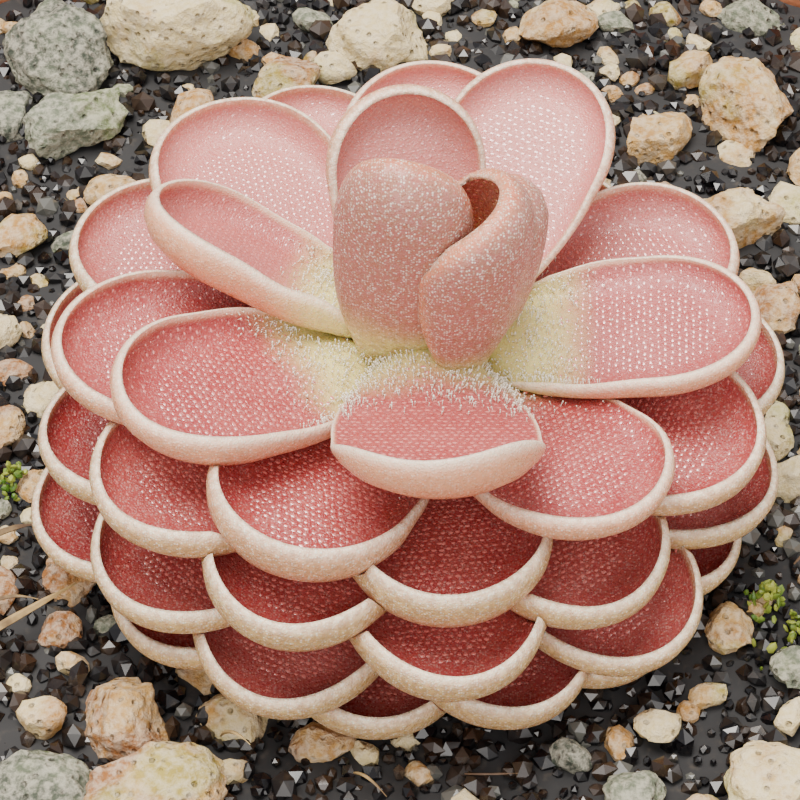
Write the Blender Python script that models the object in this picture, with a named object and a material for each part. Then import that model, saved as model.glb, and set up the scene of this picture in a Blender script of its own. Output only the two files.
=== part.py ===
"""A small butterwort in its winter rosette, in gritty soil, in a plain round clay pot.

Three pieces that stay together: the pot, the soil that fills it, and the plant, which grew as
one piece and stands with its short stem in a hole in the soil. Units are metres and +Z is up.
The origin is at the middle of the pot's foot.
"""

import math
import random

import bmesh
import bpy
from mathutils import Matrix, Vector
from mathutils.geometry import delaunay_2d_cdt
from mathutils.noise import noise

# Pot
POT_HEIGHT = 0.072
POT_RIM_RADIUS = 0.0515
POT_FOOT_RADIUS = 0.036
POT_WALL = 0.0040
POT_FLOOR = 0.006
COLLAR_HEIGHT = 0.016
COLLAR_TAPER = 0.0018
COLLAR_EDGE = 0.0008
COLLAR_STEP = 0.0022
RIM_EDGE = 0.0016
FOOT_EDGE = 0.0012
DRAIN_RADIUS = 0.007
POT_SEGMENTS = 48
FIT_GAP = 0.0003

# Soil
SOIL_LEVEL = 0.0670
GRIT_SPACING = 0.0021
GRIT_JITTER = 0.16
GRIT_ROUGHNESS = 0.0005
GRIT_PATCH = 0.004
STONE_COUNT = 130
STONE_TRIES = 1600
STONE_RADII = (0.0016, 0.0044)
STONE_SMALLNESS = 1.6
STONE_RISE = (0.45, 0.75)
STONE_SQUASH = (0.7, 1.0)
STONE_OVERLAP = 0.85
STONE_STEEPNESS = 4
RISE_UNDER_PLANT = 0.0010
RISE_SLOPE = 1.5
HOLE_SEGMENTS = 16
GRIT_SEED = 11

# Plant: the widest reach of its leaves from the stem, and where it stands
REACH = 0.020
PLANT_Y = -0.0045
PLANT_RISE = 0.0034
LEAN_RIGHT = math.radians(3.0)
LEAN_FORWARD = math.radians(4.4)
CROWN_SHIFT = 0.05
STEM_RADIUS = 0.0030
STEM_DEPTH = 0.0087
CORE_SEGMENTS = 20
CORE_OUTLINE = (
    (0.0, 0.33), (0.12, 0.33), (0.24, 0.29), (0.36, 0.20), (0.43, 0.06), (0.42, -0.05), (0.30, -0.12),
)
CORE_FOOT = 0.0006

# Leaves: the spiral, and each leaf's own size in reaches of the rosette
GOLDEN_ANGLE = math.radians(137.508)
FIRST_AZIMUTH = math.radians(279)
OLDEST_LEAF = 42
CROWN_HEIGHT = 0.30
LEAF_WIDTH = 0.47
YOUNG_WIDTHS = {0: 0.46, 1: 0.36, 2: 0.41, 3: 0.43, 7: 0.45}
LEAF_THICKNESS = 0.00095
RIM_LIFT = 0.095
RIM_CURL = math.radians(70)
LEAF_ARCH = math.radians(14)
PETIOLE_WIDTH = 0.34
WIDEST_AT = 0.62
FLAT_FLOOR = 0.50
RIM_FROM = 0.25
RIM_FULL = 0.70
LENGTH_STATIONS = (-1.0, -0.45, 0.10, 0.55, 0.85, 1.0)
WIDTH_STATIONS = (-1.0, -0.70, 0.0, 0.70, 1.0)

# The spiral's crests: how high and how far out the leaves' tips come, youngest to oldest
CREST_SINK = -0.25
CREST_SPAN = 0.95
CREST_FADE = 35.6
REACH_GROWTH = 0.26
REACH_FADE = 9
TUCKED_FROM = 24
TUCKED_STEP = 0.0055
ROOT_STEP = 0.010
RISE_IN_FRONT = 0.06

# Where a leaf stands off the even spiral, in degrees
AZIMUTH_NUDGE = {
    0: -9, 1: 20, 2: -12, 3: -14, 4: 2, 6: 14, 7: -14, 8: -9, 9: 10, 10: -8, 11: 14, 13: -15, 14: 4,
    15: -14, 16: 13, 17: 10, 18: -18, 19: 12, 20: 3, 21: 5, 23: -15, 24: 9, 26: 5, 31: -4, 32: 8,
    34: 4, 39: -4, 42: 3,
}


class Leaf:
    """One spoon-shaped leaf of the rosette, in reaches of the rosette."""

    def __init__(self, azimuth, reach, tip, root=CROWN_HEIGHT, start=0.0, width=LEAF_WIDTH,
                 arch=LEAF_ARCH, rim=RIM_LIFT, floor=FLAT_FLOOR, foot=(0.0, 0.0)):
        self.azimuth = azimuth
        self.foot = Vector((*foot, 0.0))
        self.width = width
        self.rim = rim
        self.floor = floor
        self.root = root
        self.start = start
        chord = Vector((reach - start, tip - root))
        slope = math.atan2(chord.y, chord.x)
        self.length = chord.length * arch / math.sin(arch)
        self.start_angle = slope + arch
        self.turn = -2 * arch

    def along(self, s):
        """The midline's place and direction at the fraction s of its length."""
        angle = self.start_angle + self.turn * s
        x = self.length / self.turn * (math.sin(angle) - math.sin(self.start_angle))
        z = -self.length / self.turn * (math.cos(angle) - math.cos(self.start_angle))
        return self.start + x, self.root + z, angle

    def point(self, u, v):
        """A point of the upper face: u runs from root to tip and v across, each from -1 to 1."""
        half = self.width / 2
        if u < 0:
            s = WIDEST_AT * (1 + u)
            y = v * half * (PETIOLE_WIDTH + (1 - PETIOLE_WIDTH) * smooth_step(1 + u))
            edge = abs(v)
        else:
            s = WIDEST_AT + (1 - WIDEST_AT) * u * math.sqrt(1 - v * v / 2)
            y = v * half * math.sqrt(1 - u * u / 2)
            edge = math.sqrt(u * u + v * v - u * u * v * v)
        curl = max(0.0, (edge - self.floor) / (1 - self.floor)) * RIM_CURL
        risen = smooth_step((s - RIM_FROM) / (RIM_FULL - RIM_FROM))
        lift = self.rim * risen * (1 - math.cos(curl)) / (1 - math.cos(RIM_CURL))
        if curl > 0:
            drawn_in = (self.floor + (1 - self.floor) * math.sin(curl) / math.sin(RIM_CURL)) / edge
            y *= drawn_in
            s = WIDEST_AT + (s - WIDEST_AT) * drawn_in if s > WIDEST_AT else s
        x, z, angle = self.along(s)
        return Vector((x - math.sin(angle) * lift, y, z + math.cos(angle) * lift))


def smooth_step(value):
    value = min(1.0, max(0.0, value))
    return value * value * (3 - 2 * value)


def clear_scene():
    for item in list(bpy.data.objects):
        bpy.data.objects.remove(item, do_unlink=True)


def principled(name, colour, roughness):
    material = bpy.data.materials.new(name)
    material.use_nodes = True
    shader = material.node_tree.nodes["Principled BSDF"]
    shader.inputs["Base Color"].default_value = (*colour, 1.0)
    shader.inputs["Roughness"].default_value = roughness
    shader.inputs["Metallic"].default_value = 0.0
    return material


def make_object(name, mesh, material):
    piece = bpy.data.objects.new(name, mesh)
    bpy.context.scene.collection.objects.link(piece)
    mesh.materials.append(material)
    return piece


def mesh_from(bm, name):
    mesh = bpy.data.meshes.new(name)
    bm.to_mesh(mesh)
    bm.free()
    return mesh


def turned_mesh(name, profile, segments):
    """Turn a closed outline of (radius, height) points, listed against the clock, about Z."""
    bm = bmesh.new()
    rings = []
    for step in range(segments):
        angle = 2 * math.pi * step / segments
        ring = [bm.verts.new((r * math.cos(angle), r * math.sin(angle), z)) for r, z in profile]
        rings.append(ring)
    count = len(profile)
    for step in range(segments):
        here, there = rings[step], rings[(step + 1) % segments]
        for i in range(count):
            j = (i + 1) % count
            bm.faces.new((here[i], there[i], there[j], here[j]))
    bmesh.ops.recalc_face_normals(bm, faces=bm.faces)
    return mesh_from(bm, name)


def shade_round(mesh):
    """Smooth shading, with the edges between faces that turn sharply kept crisp."""
    mesh.shade_smooth()
    mesh.set_sharp_from_angle(angle=math.radians(35))


def pot_inner_radius(z):
    """The inside of the pot's wall, which tapers from the rim down to the floor."""
    top = POT_RIM_RADIUS - COLLAR_STEP - POT_WALL
    bottom = POT_FOOT_RADIUS - POT_WALL
    part = (z - POT_FLOOR) / (POT_HEIGHT - POT_FLOOR)
    return bottom + (top - bottom) * part


def rounded_corner(centre, radius, start, end, steps):
    """Points of an arc in the outline's plane, from start to end degrees."""
    points = []
    for i in range(steps + 1):
        angle = math.radians(start + (end - start) * i / steps)
        points.append((centre[0] + radius * math.cos(angle), centre[1] + radius * math.sin(angle)))
    return points


def make_pot():
    collar_low = POT_HEIGHT - COLLAR_HEIGHT
    wall_at_collar = pot_inner_radius(collar_low) + POT_WALL
    inner_top = pot_inner_radius(POT_HEIGHT)
    rim_centre_z = POT_HEIGHT - RIM_EDGE
    collar_radius = POT_RIM_RADIUS - COLLAR_TAPER
    outline = [(DRAIN_RADIUS, 0.0)]
    outline += rounded_corner((POT_FOOT_RADIUS - FOOT_EDGE, FOOT_EDGE), FOOT_EDGE, -90, 0, 3)
    outline += [(wall_at_collar, collar_low - COLLAR_EDGE * 1.5)]
    outline += rounded_corner((collar_radius - COLLAR_EDGE, collar_low), COLLAR_EDGE, -60, 0, 2)
    outline += rounded_corner((POT_RIM_RADIUS - RIM_EDGE, rim_centre_z), RIM_EDGE, 0, 90, 4)
    outline += rounded_corner((inner_top + RIM_EDGE, rim_centre_z), RIM_EDGE, 90, 180, 4)
    outline += [(pot_inner_radius(POT_FLOOR), POT_FLOOR), (DRAIN_RADIUS, POT_FLOOR)]
    mesh = turned_mesh("pot", outline, POT_SEGMENTS)
    shade_round(mesh)
    return make_object("pot", mesh, principled("clay", (0.50, 0.23, 0.13), 0.85))


def scatter_stones(draw):
    """Centres, sizes and rises of the stones that show in the soil, none over another."""
    stones = []
    soil_radius = pot_inner_radius(SOIL_LEVEL) - FIT_GAP
    for _ in range(STONE_TRIES):
        if len(stones) == STONE_COUNT:
            break
        radius = STONE_RADII[0] + (STONE_RADII[1] - STONE_RADII[0]) * draw.random() ** STONE_SMALLNESS
        away = (soil_radius - radius) * math.sqrt(draw.random())
        angle = draw.uniform(0, 2 * math.pi)
        centre = Vector((away * math.cos(angle), away * math.sin(angle)))
        rise = radius * draw.uniform(*STONE_RISE)
        squash = draw.uniform(*STONE_SQUASH)
        turn = draw.uniform(0, math.pi)
        if all((centre - other[0]).length > STONE_OVERLAP * (radius + other[1]) for other in stones):
            stones.append((centre, radius, rise, squash, turn))
    return stones


def soil_height(point, stones):
    """The soil's surface over its level: loose grit with half-sunk stones standing out of it."""
    grit = GRIT_ROUGHNESS * noise(Vector((point.x, point.y, 0.0)) / GRIT_PATCH)
    height = grit
    for centre, radius, rise, squash, turn in stones:
        offset = Matrix.Rotation(-turn, 2) @ (point - centre)
        distance = math.hypot(offset.x, offset.y / squash) / radius
        if distance < 1:
            height = max(height, rise * (1 - distance ** STONE_STEEPNESS) + grit / 2)
    near = (point - Vector((0.0, PLANT_Y))).length
    limit = RISE_UNDER_PLANT + RISE_SLOPE * max(0.0, near - REACH)
    return min(height, limit) * smooth_step((near - STEM_RADIUS) / GRIT_PATCH)


def circle_points(radius, count, centre=(0.0, 0.0)):
    points = []
    for i in range(count):
        angle = 2 * math.pi * i / count
        points.append(Vector((centre[0] + radius * math.cos(angle), centre[1] + radius * math.sin(angle))))
    return points


def make_soil():
    draw = random.Random(GRIT_SEED)
    stones = scatter_stones(draw)
    rim = pot_inner_radius(SOIL_LEVEL) - FIT_GAP
    hole = STEM_RADIUS + FIT_GAP
    outer = circle_points(rim, POT_SEGMENTS)
    inner = circle_points(hole, HOLE_SEGMENTS, (0.0, PLANT_Y))
    flat = outer + inner
    edges = [(i, (i + 1) % POT_SEGMENTS) for i in range(POT_SEGMENTS)]
    edges += [(POT_SEGMENTS + i, POT_SEGMENTS + (i + 1) % HOLE_SEGMENTS) for i in range(HOLE_SEGMENTS)]
    edge_margin = GRIT_SPACING * 0.65
    row_step = GRIT_SPACING * math.sqrt(3) / 2
    rows = int(rim / row_step)
    for row in range(-rows, rows + 1):
        shift = GRIT_SPACING / 2 if row % 2 else 0.0
        for column in range(-rows, rows + 1):
            point = Vector((column * GRIT_SPACING + shift, row * row_step))
            point += Vector((draw.uniform(-1, 1), draw.uniform(-1, 1))) * GRIT_SPACING * GRIT_JITTER
            from_stem = (point - Vector((0.0, PLANT_Y))).length
            if point.length < rim - edge_margin and from_stem > hole + edge_margin:
                flat.append(point)
    verts, _, faces, *_ = delaunay_2d_cdt(flat, edges, [], 1, 1e-7)

    bm = bmesh.new()
    top = [bm.verts.new((p.x, p.y, SOIL_LEVEL + soil_height(p, stones))) for p in verts]
    hole_centre = Vector((0.0, PLANT_Y))
    hole_inside = hole * math.cos(math.pi / HOLE_SEGMENTS) * 0.98
    for face in faces:
        middle = sum((verts[i] for i in face), Vector((0.0, 0.0))) / len(face)
        if (middle - hole_centre).length > hole_inside:
            bm.faces.new([top[i] for i in face])
    for vert in top:
        if not vert.link_faces:
            bm.verts.remove(vert)

    def extrude_ring(edges, move):
        ring = bmesh.ops.extrude_edge_only(bm, edges=edges)["geom"]
        for vert in (item for item in ring if isinstance(item, bmesh.types.BMVert)):
            vert.co = move(vert.co)
        return [item for item in ring if isinstance(item, bmesh.types.BMEdge)]

    open_edges = [edge for edge in bm.edges if edge.is_boundary]
    wall_edges = [edge for edge in open_edges if edge.verts[0].co.xy.length > rim / 2]
    hole_edges = [edge for edge in open_edges if edge.verts[0].co.xy.length < rim / 2]
    floor_z = POT_FLOOR + FIT_GAP
    floor_scale = (pot_inner_radius(floor_z) - FIT_GAP) / rim
    to_floor = Matrix.Diagonal((floor_scale, floor_scale, 0.0))
    wall_edges = extrude_ring(wall_edges, lambda co: to_floor @ co + Vector((0.0, 0.0, floor_z)))
    bmesh.ops.edgeloop_fill(bm, edges=wall_edges)
    hole_floor = SOIL_LEVEL - STEM_DEPTH - FIT_GAP
    hole_edges = extrude_ring(hole_edges, lambda co: Vector((co.x, co.y, hole_floor)))
    bmesh.ops.edgeloop_fill(bm, edges=hole_edges)
    bmesh.ops.recalc_face_normals(bm, faces=bm.faces)
    return make_object("soil", mesh_from(bm, "soil"), principled("grit", (0.30, 0.24, 0.18), 0.95))


def crown_leaves():
    """The young leaves at the crown, each with its own pose: two open, three upright and closed."""
    closed = {"start": 0.05, "floor": 0.0}
    left = {"width": 0.32, "arch": math.radians(-12), "rim": 0.09, "foot": (-0.08, 0.0)}
    right = {"width": 0.28, "arch": math.radians(-13), "rim": 0.11, "foot": (0.11, 0.0)}
    behind = {"width": 0.27, "arch": math.radians(-12), "rim": 0.07, "foot": (0.14, 0.05)}
    return [
        Leaf(math.radians(63), 0.76, 0.68, width=0.42),
        Leaf(math.radians(101), 0.48, 0.80, width=0.42, arch=math.radians(8)),
        Leaf(math.radians(256), 0.09, 1.05, **left, **closed),
        Leaf(math.radians(288), 0.11, 1.04, **right, **closed),
        Leaf(math.radians(350), 0.16, 0.92, **behind, **closed),
    ]


def spiral_leaves():
    """The grown leaves, from the youngest to the oldest, stacked down the stem on a spiral."""
    leaves = []
    for index in range(OLDEST_LEAF + 1):
        azimuth = FIRST_AZIMUTH - GOLDEN_ANGLE * index + math.radians(AZIMUTH_NUDGE.get(index, 0))
        crest = CREST_SINK + CREST_SPAN * math.exp(-index / CREST_FADE)
        if index <= TUCKED_FROM:
            crest += RISE_IN_FRONT * max(0.0, -math.sin(azimuth))
        reach = 1.0 - REACH_GROWTH * math.exp(-index / REACH_FADE)
        reach -= TUCKED_STEP * max(0, index - TUCKED_FROM)
        root = CROWN_HEIGHT - ROOT_STEP * index
        width = YOUNG_WIDTHS.get(index, LEAF_WIDTH)
        leaves.append(Leaf(azimuth, reach, crest - RIM_LIFT, root, width=width))
    return leaves


def place(point, leaf):
    """Bring a leaf's point from its own frame, in reaches, to the leaning plant's place."""
    turned = Matrix.Rotation(leaf.azimuth, 3, "Z") @ point + leaf.foot
    turned.x += CROWN_SHIFT * leaf.root / CROWN_HEIGHT
    lean = Matrix.Rotation(LEAN_RIGHT, 3, "Y") @ Matrix.Rotation(LEAN_FORWARD, 3, "X")
    ground = Vector((0.0, PLANT_Y, SOIL_LEVEL + PLANT_RISE))
    return ground + lean @ turned * REACH


def make_leaf(leaf, number, collection):
    """A leaf's solid: its upper face on a few stations, split alike above and below."""
    bm = bmesh.new()
    rows = []
    for u in LENGTH_STATIONS:
        rows.append([bm.verts.new(place(leaf.point(u, v), leaf)) for v in WIDTH_STATIONS])
    for near, far in zip(rows, rows[1:]):
        for i in range(len(WIDTH_STATIONS) - 1):
            a, b, c, d = near[i], far[i], far[i + 1], near[i + 1]
            if i < (len(WIDTH_STATIONS) - 1) / 2:
                triangles = ((a, b, d), (b, c, d))
            else:
                triangles = ((a, b, c), (a, c, d))
            for triangle in triangles:
                bm.faces.new(triangle)
    piece = bpy.data.objects.new(f"leaf_{number}", mesh_from(bm, f"leaf_{number}"))
    collection.objects.link(piece)
    solid = piece.modifiers.new("thickness", "SOLIDIFY")
    solid.thickness = LEAF_THICKNESS
    solid.offset = -1.0
    solid.use_even_offset = True
    return piece


def make_core_mesh():
    """The plant's hidden middle and stem, turned about the stem's axis."""
    outline = [(r * REACH, PLANT_RISE + z * REACH) for r, z in CORE_OUTLINE]
    outline += [(STEM_RADIUS, CORE_FOOT), (STEM_RADIUS, -STEM_DEPTH), (0.0, -STEM_DEPTH)]
    bm = bmesh.new()
    for (r0, z0), (r1, z1) in zip(outline, outline[1:]):
        bm.edges.new((bm.verts.new((r0, 0.0, z0)), bm.verts.new((r1, 0.0, z1))))
    bmesh.ops.remove_doubles(bm, verts=bm.verts, dist=1e-6)
    bmesh.ops.spin(bm, geom=bm.verts[:] + bm.edges[:], cent=(0, 0, 0), axis=(0, 0, 1),
                   angle=2 * math.pi, steps=CORE_SEGMENTS, use_merge=True)
    bmesh.ops.remove_doubles(bm, verts=bm.verts, dist=1e-6)
    bmesh.ops.recalc_face_normals(bm, faces=bm.faces)
    bmesh.ops.translate(bm, verts=bm.verts, vec=(0.0, PLANT_Y, SOIL_LEVEL))
    return mesh_from(bm, "rosette")


def keep_largest_shell(mesh):
    """Fill the hollows that the union sealed and drop loose scraps, by keeping the outer shell."""
    bm = bmesh.new()
    bm.from_mesh(mesh)
    unseen = set(bm.verts)
    shells = []
    while unseen:
        shell = {unseen.pop()}
        frontier = list(shell)
        while frontier:
            vert = frontier.pop()
            for edge in vert.link_edges:
                other = edge.other_vert(vert)
                if other in unseen:
                    unseen.remove(other)
                    shell.add(other)
                    frontier.append(other)
        shells.append(shell)
    largest = max(shells, key=len)
    extra = [vert for shell in shells if shell is not largest for vert in shell]
    bmesh.ops.delete(bm, geom=extra, context="VERTS")
    bm.to_mesh(mesh)
    bm.free()


def make_rosette():
    rosette = make_object("rosette", make_core_mesh(), principled("leaf", (0.62, 0.24, 0.24), 0.45))
    leaves = bpy.data.collections.new("leaves")
    bpy.context.scene.collection.children.link(leaves)
    for number, leaf in enumerate(crown_leaves() + spiral_leaves()):
        make_leaf(leaf, number, leaves)
    union = rosette.modifiers.new("union", "BOOLEAN")
    union.operation = "UNION"
    union.operand_type = "COLLECTION"
    union.collection = leaves
    union.solver = "EXACT"
    bpy.context.view_layer.objects.active = rosette
    bpy.ops.object.modifier_apply(modifier="union")
    for piece in list(leaves.objects):
        bpy.data.objects.remove(piece, do_unlink=True)
    bpy.data.collections.remove(leaves)
    keep_largest_shell(rosette.data)
    return rosette


def main():
    clear_scene()
    make_pot()
    make_soil()
    make_rosette()


if __name__ == "__main__":
    main()
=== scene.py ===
"""A potted butterwort: a dewy pink winter rosette in mineral grit, in a plain clay pot.

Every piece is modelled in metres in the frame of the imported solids, with +Z up and the origin
at the middle of the pot's foot. The leaves stand on a golden-angle spiral. Each is shaped from
a flat grid by one formula, and its dew, its rim and its finish follow from its own outline.
"""

import logging
import math
import random
from dataclasses import dataclass, field
from enum import Enum
from typing import Any, Iterable, Sequence

import bpy
import numpy as np
from mathutils import Matrix, Vector
from mathutils.bvhtree import BVHTree
from mathutils.noise import noise


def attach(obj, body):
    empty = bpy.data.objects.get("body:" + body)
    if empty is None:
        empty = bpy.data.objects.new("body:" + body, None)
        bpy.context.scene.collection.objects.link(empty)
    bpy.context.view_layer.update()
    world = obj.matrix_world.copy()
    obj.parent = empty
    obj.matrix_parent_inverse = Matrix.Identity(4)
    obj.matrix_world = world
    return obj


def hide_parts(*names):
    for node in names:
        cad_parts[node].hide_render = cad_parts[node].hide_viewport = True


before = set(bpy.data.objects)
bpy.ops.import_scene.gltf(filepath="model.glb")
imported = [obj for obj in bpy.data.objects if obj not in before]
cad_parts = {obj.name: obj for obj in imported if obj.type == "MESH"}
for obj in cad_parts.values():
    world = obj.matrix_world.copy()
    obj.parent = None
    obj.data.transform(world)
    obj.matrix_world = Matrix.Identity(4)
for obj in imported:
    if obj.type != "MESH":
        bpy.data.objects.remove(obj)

Array = np.ndarray
Colour = tuple[float, float, float]

LOG = logging.getLogger("butterwort")

REACH = 0.020
PLANT_Y = -0.0045
SOIL_LEVEL = 0.0670
PLANT_RISE = 0.0034
PLANT_FOOT = Vector((0.0, PLANT_Y, SOIL_LEVEL + PLANT_RISE))
LEAN = Matrix.Rotation(math.radians(3.0), 3, "Y") @ Matrix.Rotation(math.radians(4.4), 3, "X")
CROWN_SHIFT = 0.05
CROWN_HEIGHT = 0.30

SIDE_CURL = math.radians(66)
TIP_CURL = math.radians(106)
PETIOLE_WIDTH = 0.46
TIP_SHARE = 0.52
AROUND_FACES = 72
UPPER_RADII = (0.0, 0.22, 0.40, 0.54, 0.64, 0.72, 0.79, 0.85, 0.90, 0.94, 0.97, 0.99, 1.0)
UNDER_RADII = (0.99, 0.965, 0.925, 0.87, 0.80, 0.72, 0.62, 0.48, 0.28, 0.0)
UNDER_GAP = 0.00012
INSET = 0.035


class Slot(Enum):
    """The record's material slots."""

    CLAY = "clay"
    GRIT = "grit"
    LEAF = "leaf"


def smooth_step(value: Array | float) -> Array | float:
    """Ease a value from 0 to 1 over the unit interval."""
    held = np.clip(value, 0.0, 1.0)
    return held * held * (3 - 2 * held)


def deselect_all() -> None:
    """Leave nothing selected, so that an operator acts on new geometry only."""
    if bpy.context.object is not None and bpy.context.object.mode != "OBJECT":
        bpy.ops.object.mode_set(mode="OBJECT")
    bpy.ops.object.select_all(action="DESELECT")


def select_only(piece: bpy.types.Object) -> None:
    """Make a piece the one selected and active object."""
    deselect_all()
    piece.select_set(True)
    bpy.context.view_layer.objects.active = piece


def read_points(mesh: bpy.types.Mesh) -> Array:
    """The mesh's vertices as an array of rows x, y, z."""
    flat = np.empty(len(mesh.vertices) * 3)
    mesh.vertices.foreach_get("co", flat)
    return flat.reshape(-1, 3)


def write_points(mesh: bpy.types.Mesh, points: Array) -> None:
    """Move the mesh's vertices to the rows of an array."""
    mesh.vertices.foreach_set("co", np.ascontiguousarray(points, dtype=np.float32).ravel())
    mesh.update()


def write_trait(mesh: bpy.types.Mesh, name: str, values: Array) -> None:
    """Keep a row of three numbers on every vertex, for the finish to read.

    Args:
        mesh: The mesh that gets the attribute.
        name: The attribute's name.
        values: One row of three numbers for each vertex.
    """
    attribute = mesh.attributes.new(name, "FLOAT_VECTOR", "POINT")
    attribute.data.foreach_set("vector", np.ascontiguousarray(values, dtype=np.float32).ravel())


def join_pieces(pieces: Sequence[bpy.types.Object], name: str) -> bpy.types.Object:
    """Join pieces into one object.

    Args:
        pieces: The objects to join.
        name: The joined object's name.

    Returns:
        The joined object.
    """
    deselect_all()
    for piece in pieces:
        piece.select_set(True)
    bpy.context.view_layer.objects.active = pieces[0]
    if len(pieces) > 1:
        bpy.ops.object.join()
    joined = bpy.context.object
    joined.name = name
    joined.data.name = name
    return joined


def settle(
    piece: bpy.types.Object, material: bpy.types.Material, replaces: str | None = None
) -> None:
    """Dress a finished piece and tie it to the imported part.

    Args:
        piece: The finished piece, with its place in its mesh.
        material: The piece's finish.
        replaces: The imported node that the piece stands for, if any.
    """
    piece.data.materials.clear()
    piece.data.materials.append(material)
    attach(piece, "root")
    if replaces:
        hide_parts(replaces)
    triangles = sum(len(polygon.vertices) - 2 for polygon in piece.data.polygons)
    LOG.info("%s: %d triangles", piece.name, triangles)


class Finish:
    """A procedural material under construction, with short calls for its nodes."""

    def __init__(self, name: str) -> None:
        """Start a material with a bare Principled shader.

        Args:
            name: The material's name.
        """
        self.material = bpy.data.materials.new(name)
        self.material.use_nodes = True
        self.tree = self.material.node_tree
        self.shader = self.tree.nodes["Principled BSDF"]

    def add(self, kind: str, inputs: dict[Any, Any] | None = None, **settings: Any) -> Any:
        """Add a node.

        Args:
            kind: The node's type, without its ShaderNode prefix.
            inputs: Values or sockets for the node's inputs, by name or number.
            **settings: The node's own settings.

        Returns:
            The new node.
        """
        node = self.tree.nodes.new("ShaderNode" + kind)
        for key, value in settings.items():
            setattr(node, key, value)
        for key, value in (inputs or {}).items():
            self.feed(node.inputs[key], value)
        return node

    def feed(self, socket: Any, value: Any) -> None:
        """Link a socket into an input, or set the input's value."""
        if isinstance(value, bpy.types.NodeSocket):
            self.tree.links.new(value, socket)
        elif isinstance(value, tuple) and len(value) == 3 and socket.type == "RGBA":
            socket.default_value = (*value, 1.0)
        else:
            socket.default_value = value

    def place(self) -> Any:
        """The point's place on the object, in metres."""
        return self.add("TexCoord").outputs["Object"]

    def trait(self, name: str) -> Any:
        """The three outputs of a vector attribute, split."""
        return self.split(self.add("Attribute", attribute_name=name).outputs["Vector"])

    def split(self, vector: Any) -> Any:
        """The three outputs of a vector or colour, split."""
        return self.add("SeparateXYZ", {0: vector}).outputs

    def calc(self, operation: str, *values: Any) -> Any:
        """A Math node's output for one to three values."""
        return self.add("Math", dict(enumerate(values)), operation=operation).outputs[0]

    def ease(self, value: Any, low: float, high: float) -> Any:
        """A value mapped smoothly from low..high to 0..1."""
        inputs = {"Value": value, "From Min": low, "From Max": high}
        return self.add("MapRange", inputs, interpolation_type="SMOOTHSTEP").outputs["Result"]

    def blend(self, amount: Any, first: Any, second: Any, mode: str = "MIX") -> Any:
        """A mix of two colours."""
        inputs = {0: amount, 6: first, 7: second}
        node = self.add("Mix", None, data_type="RGBA", blend_type=mode)
        for key, value in inputs.items():
            self.feed(node.inputs[key], value)
        return node.outputs[2]

    def speckle(self, scale: float, detail: float = 2.0, roughness: float = 0.5) -> Any:
        """Noise over the object's own coordinates; scale is in lumps per metre."""
        inputs = {"Vector": self.place(), "Scale": scale, "Detail": detail, "Roughness": roughness}
        return self.add("TexNoise", inputs).outputs["Fac"]

    def cells(self, scale: float, feature: str = "F1", output: str = "Distance") -> Any:
        """Cells over the object's own coordinates; scale is in cells per metre."""
        inputs = {"Vector": self.place(), "Scale": scale}
        return self.add("TexVoronoi", inputs, feature=feature).outputs[output]

    def relief(self, height: Any, depth: float, strength: float = 1.0, under: Any = None) -> Any:
        """A bump of a given depth in metres, over another one if given."""
        inputs = {"Height": height, "Distance": depth, "Strength": strength}
        if under is not None:
            inputs["Normal"] = under
        return self.add("Bump", inputs).outputs["Normal"]

    def give(self, **inputs: Any) -> bpy.types.Material:
        """Set the shader's inputs, by name with underscores for spaces, and hand it over."""
        for key, value in inputs.items():
            self.feed(self.shader.inputs[key.replace("_", " ")], value)
        return self.material


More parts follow.
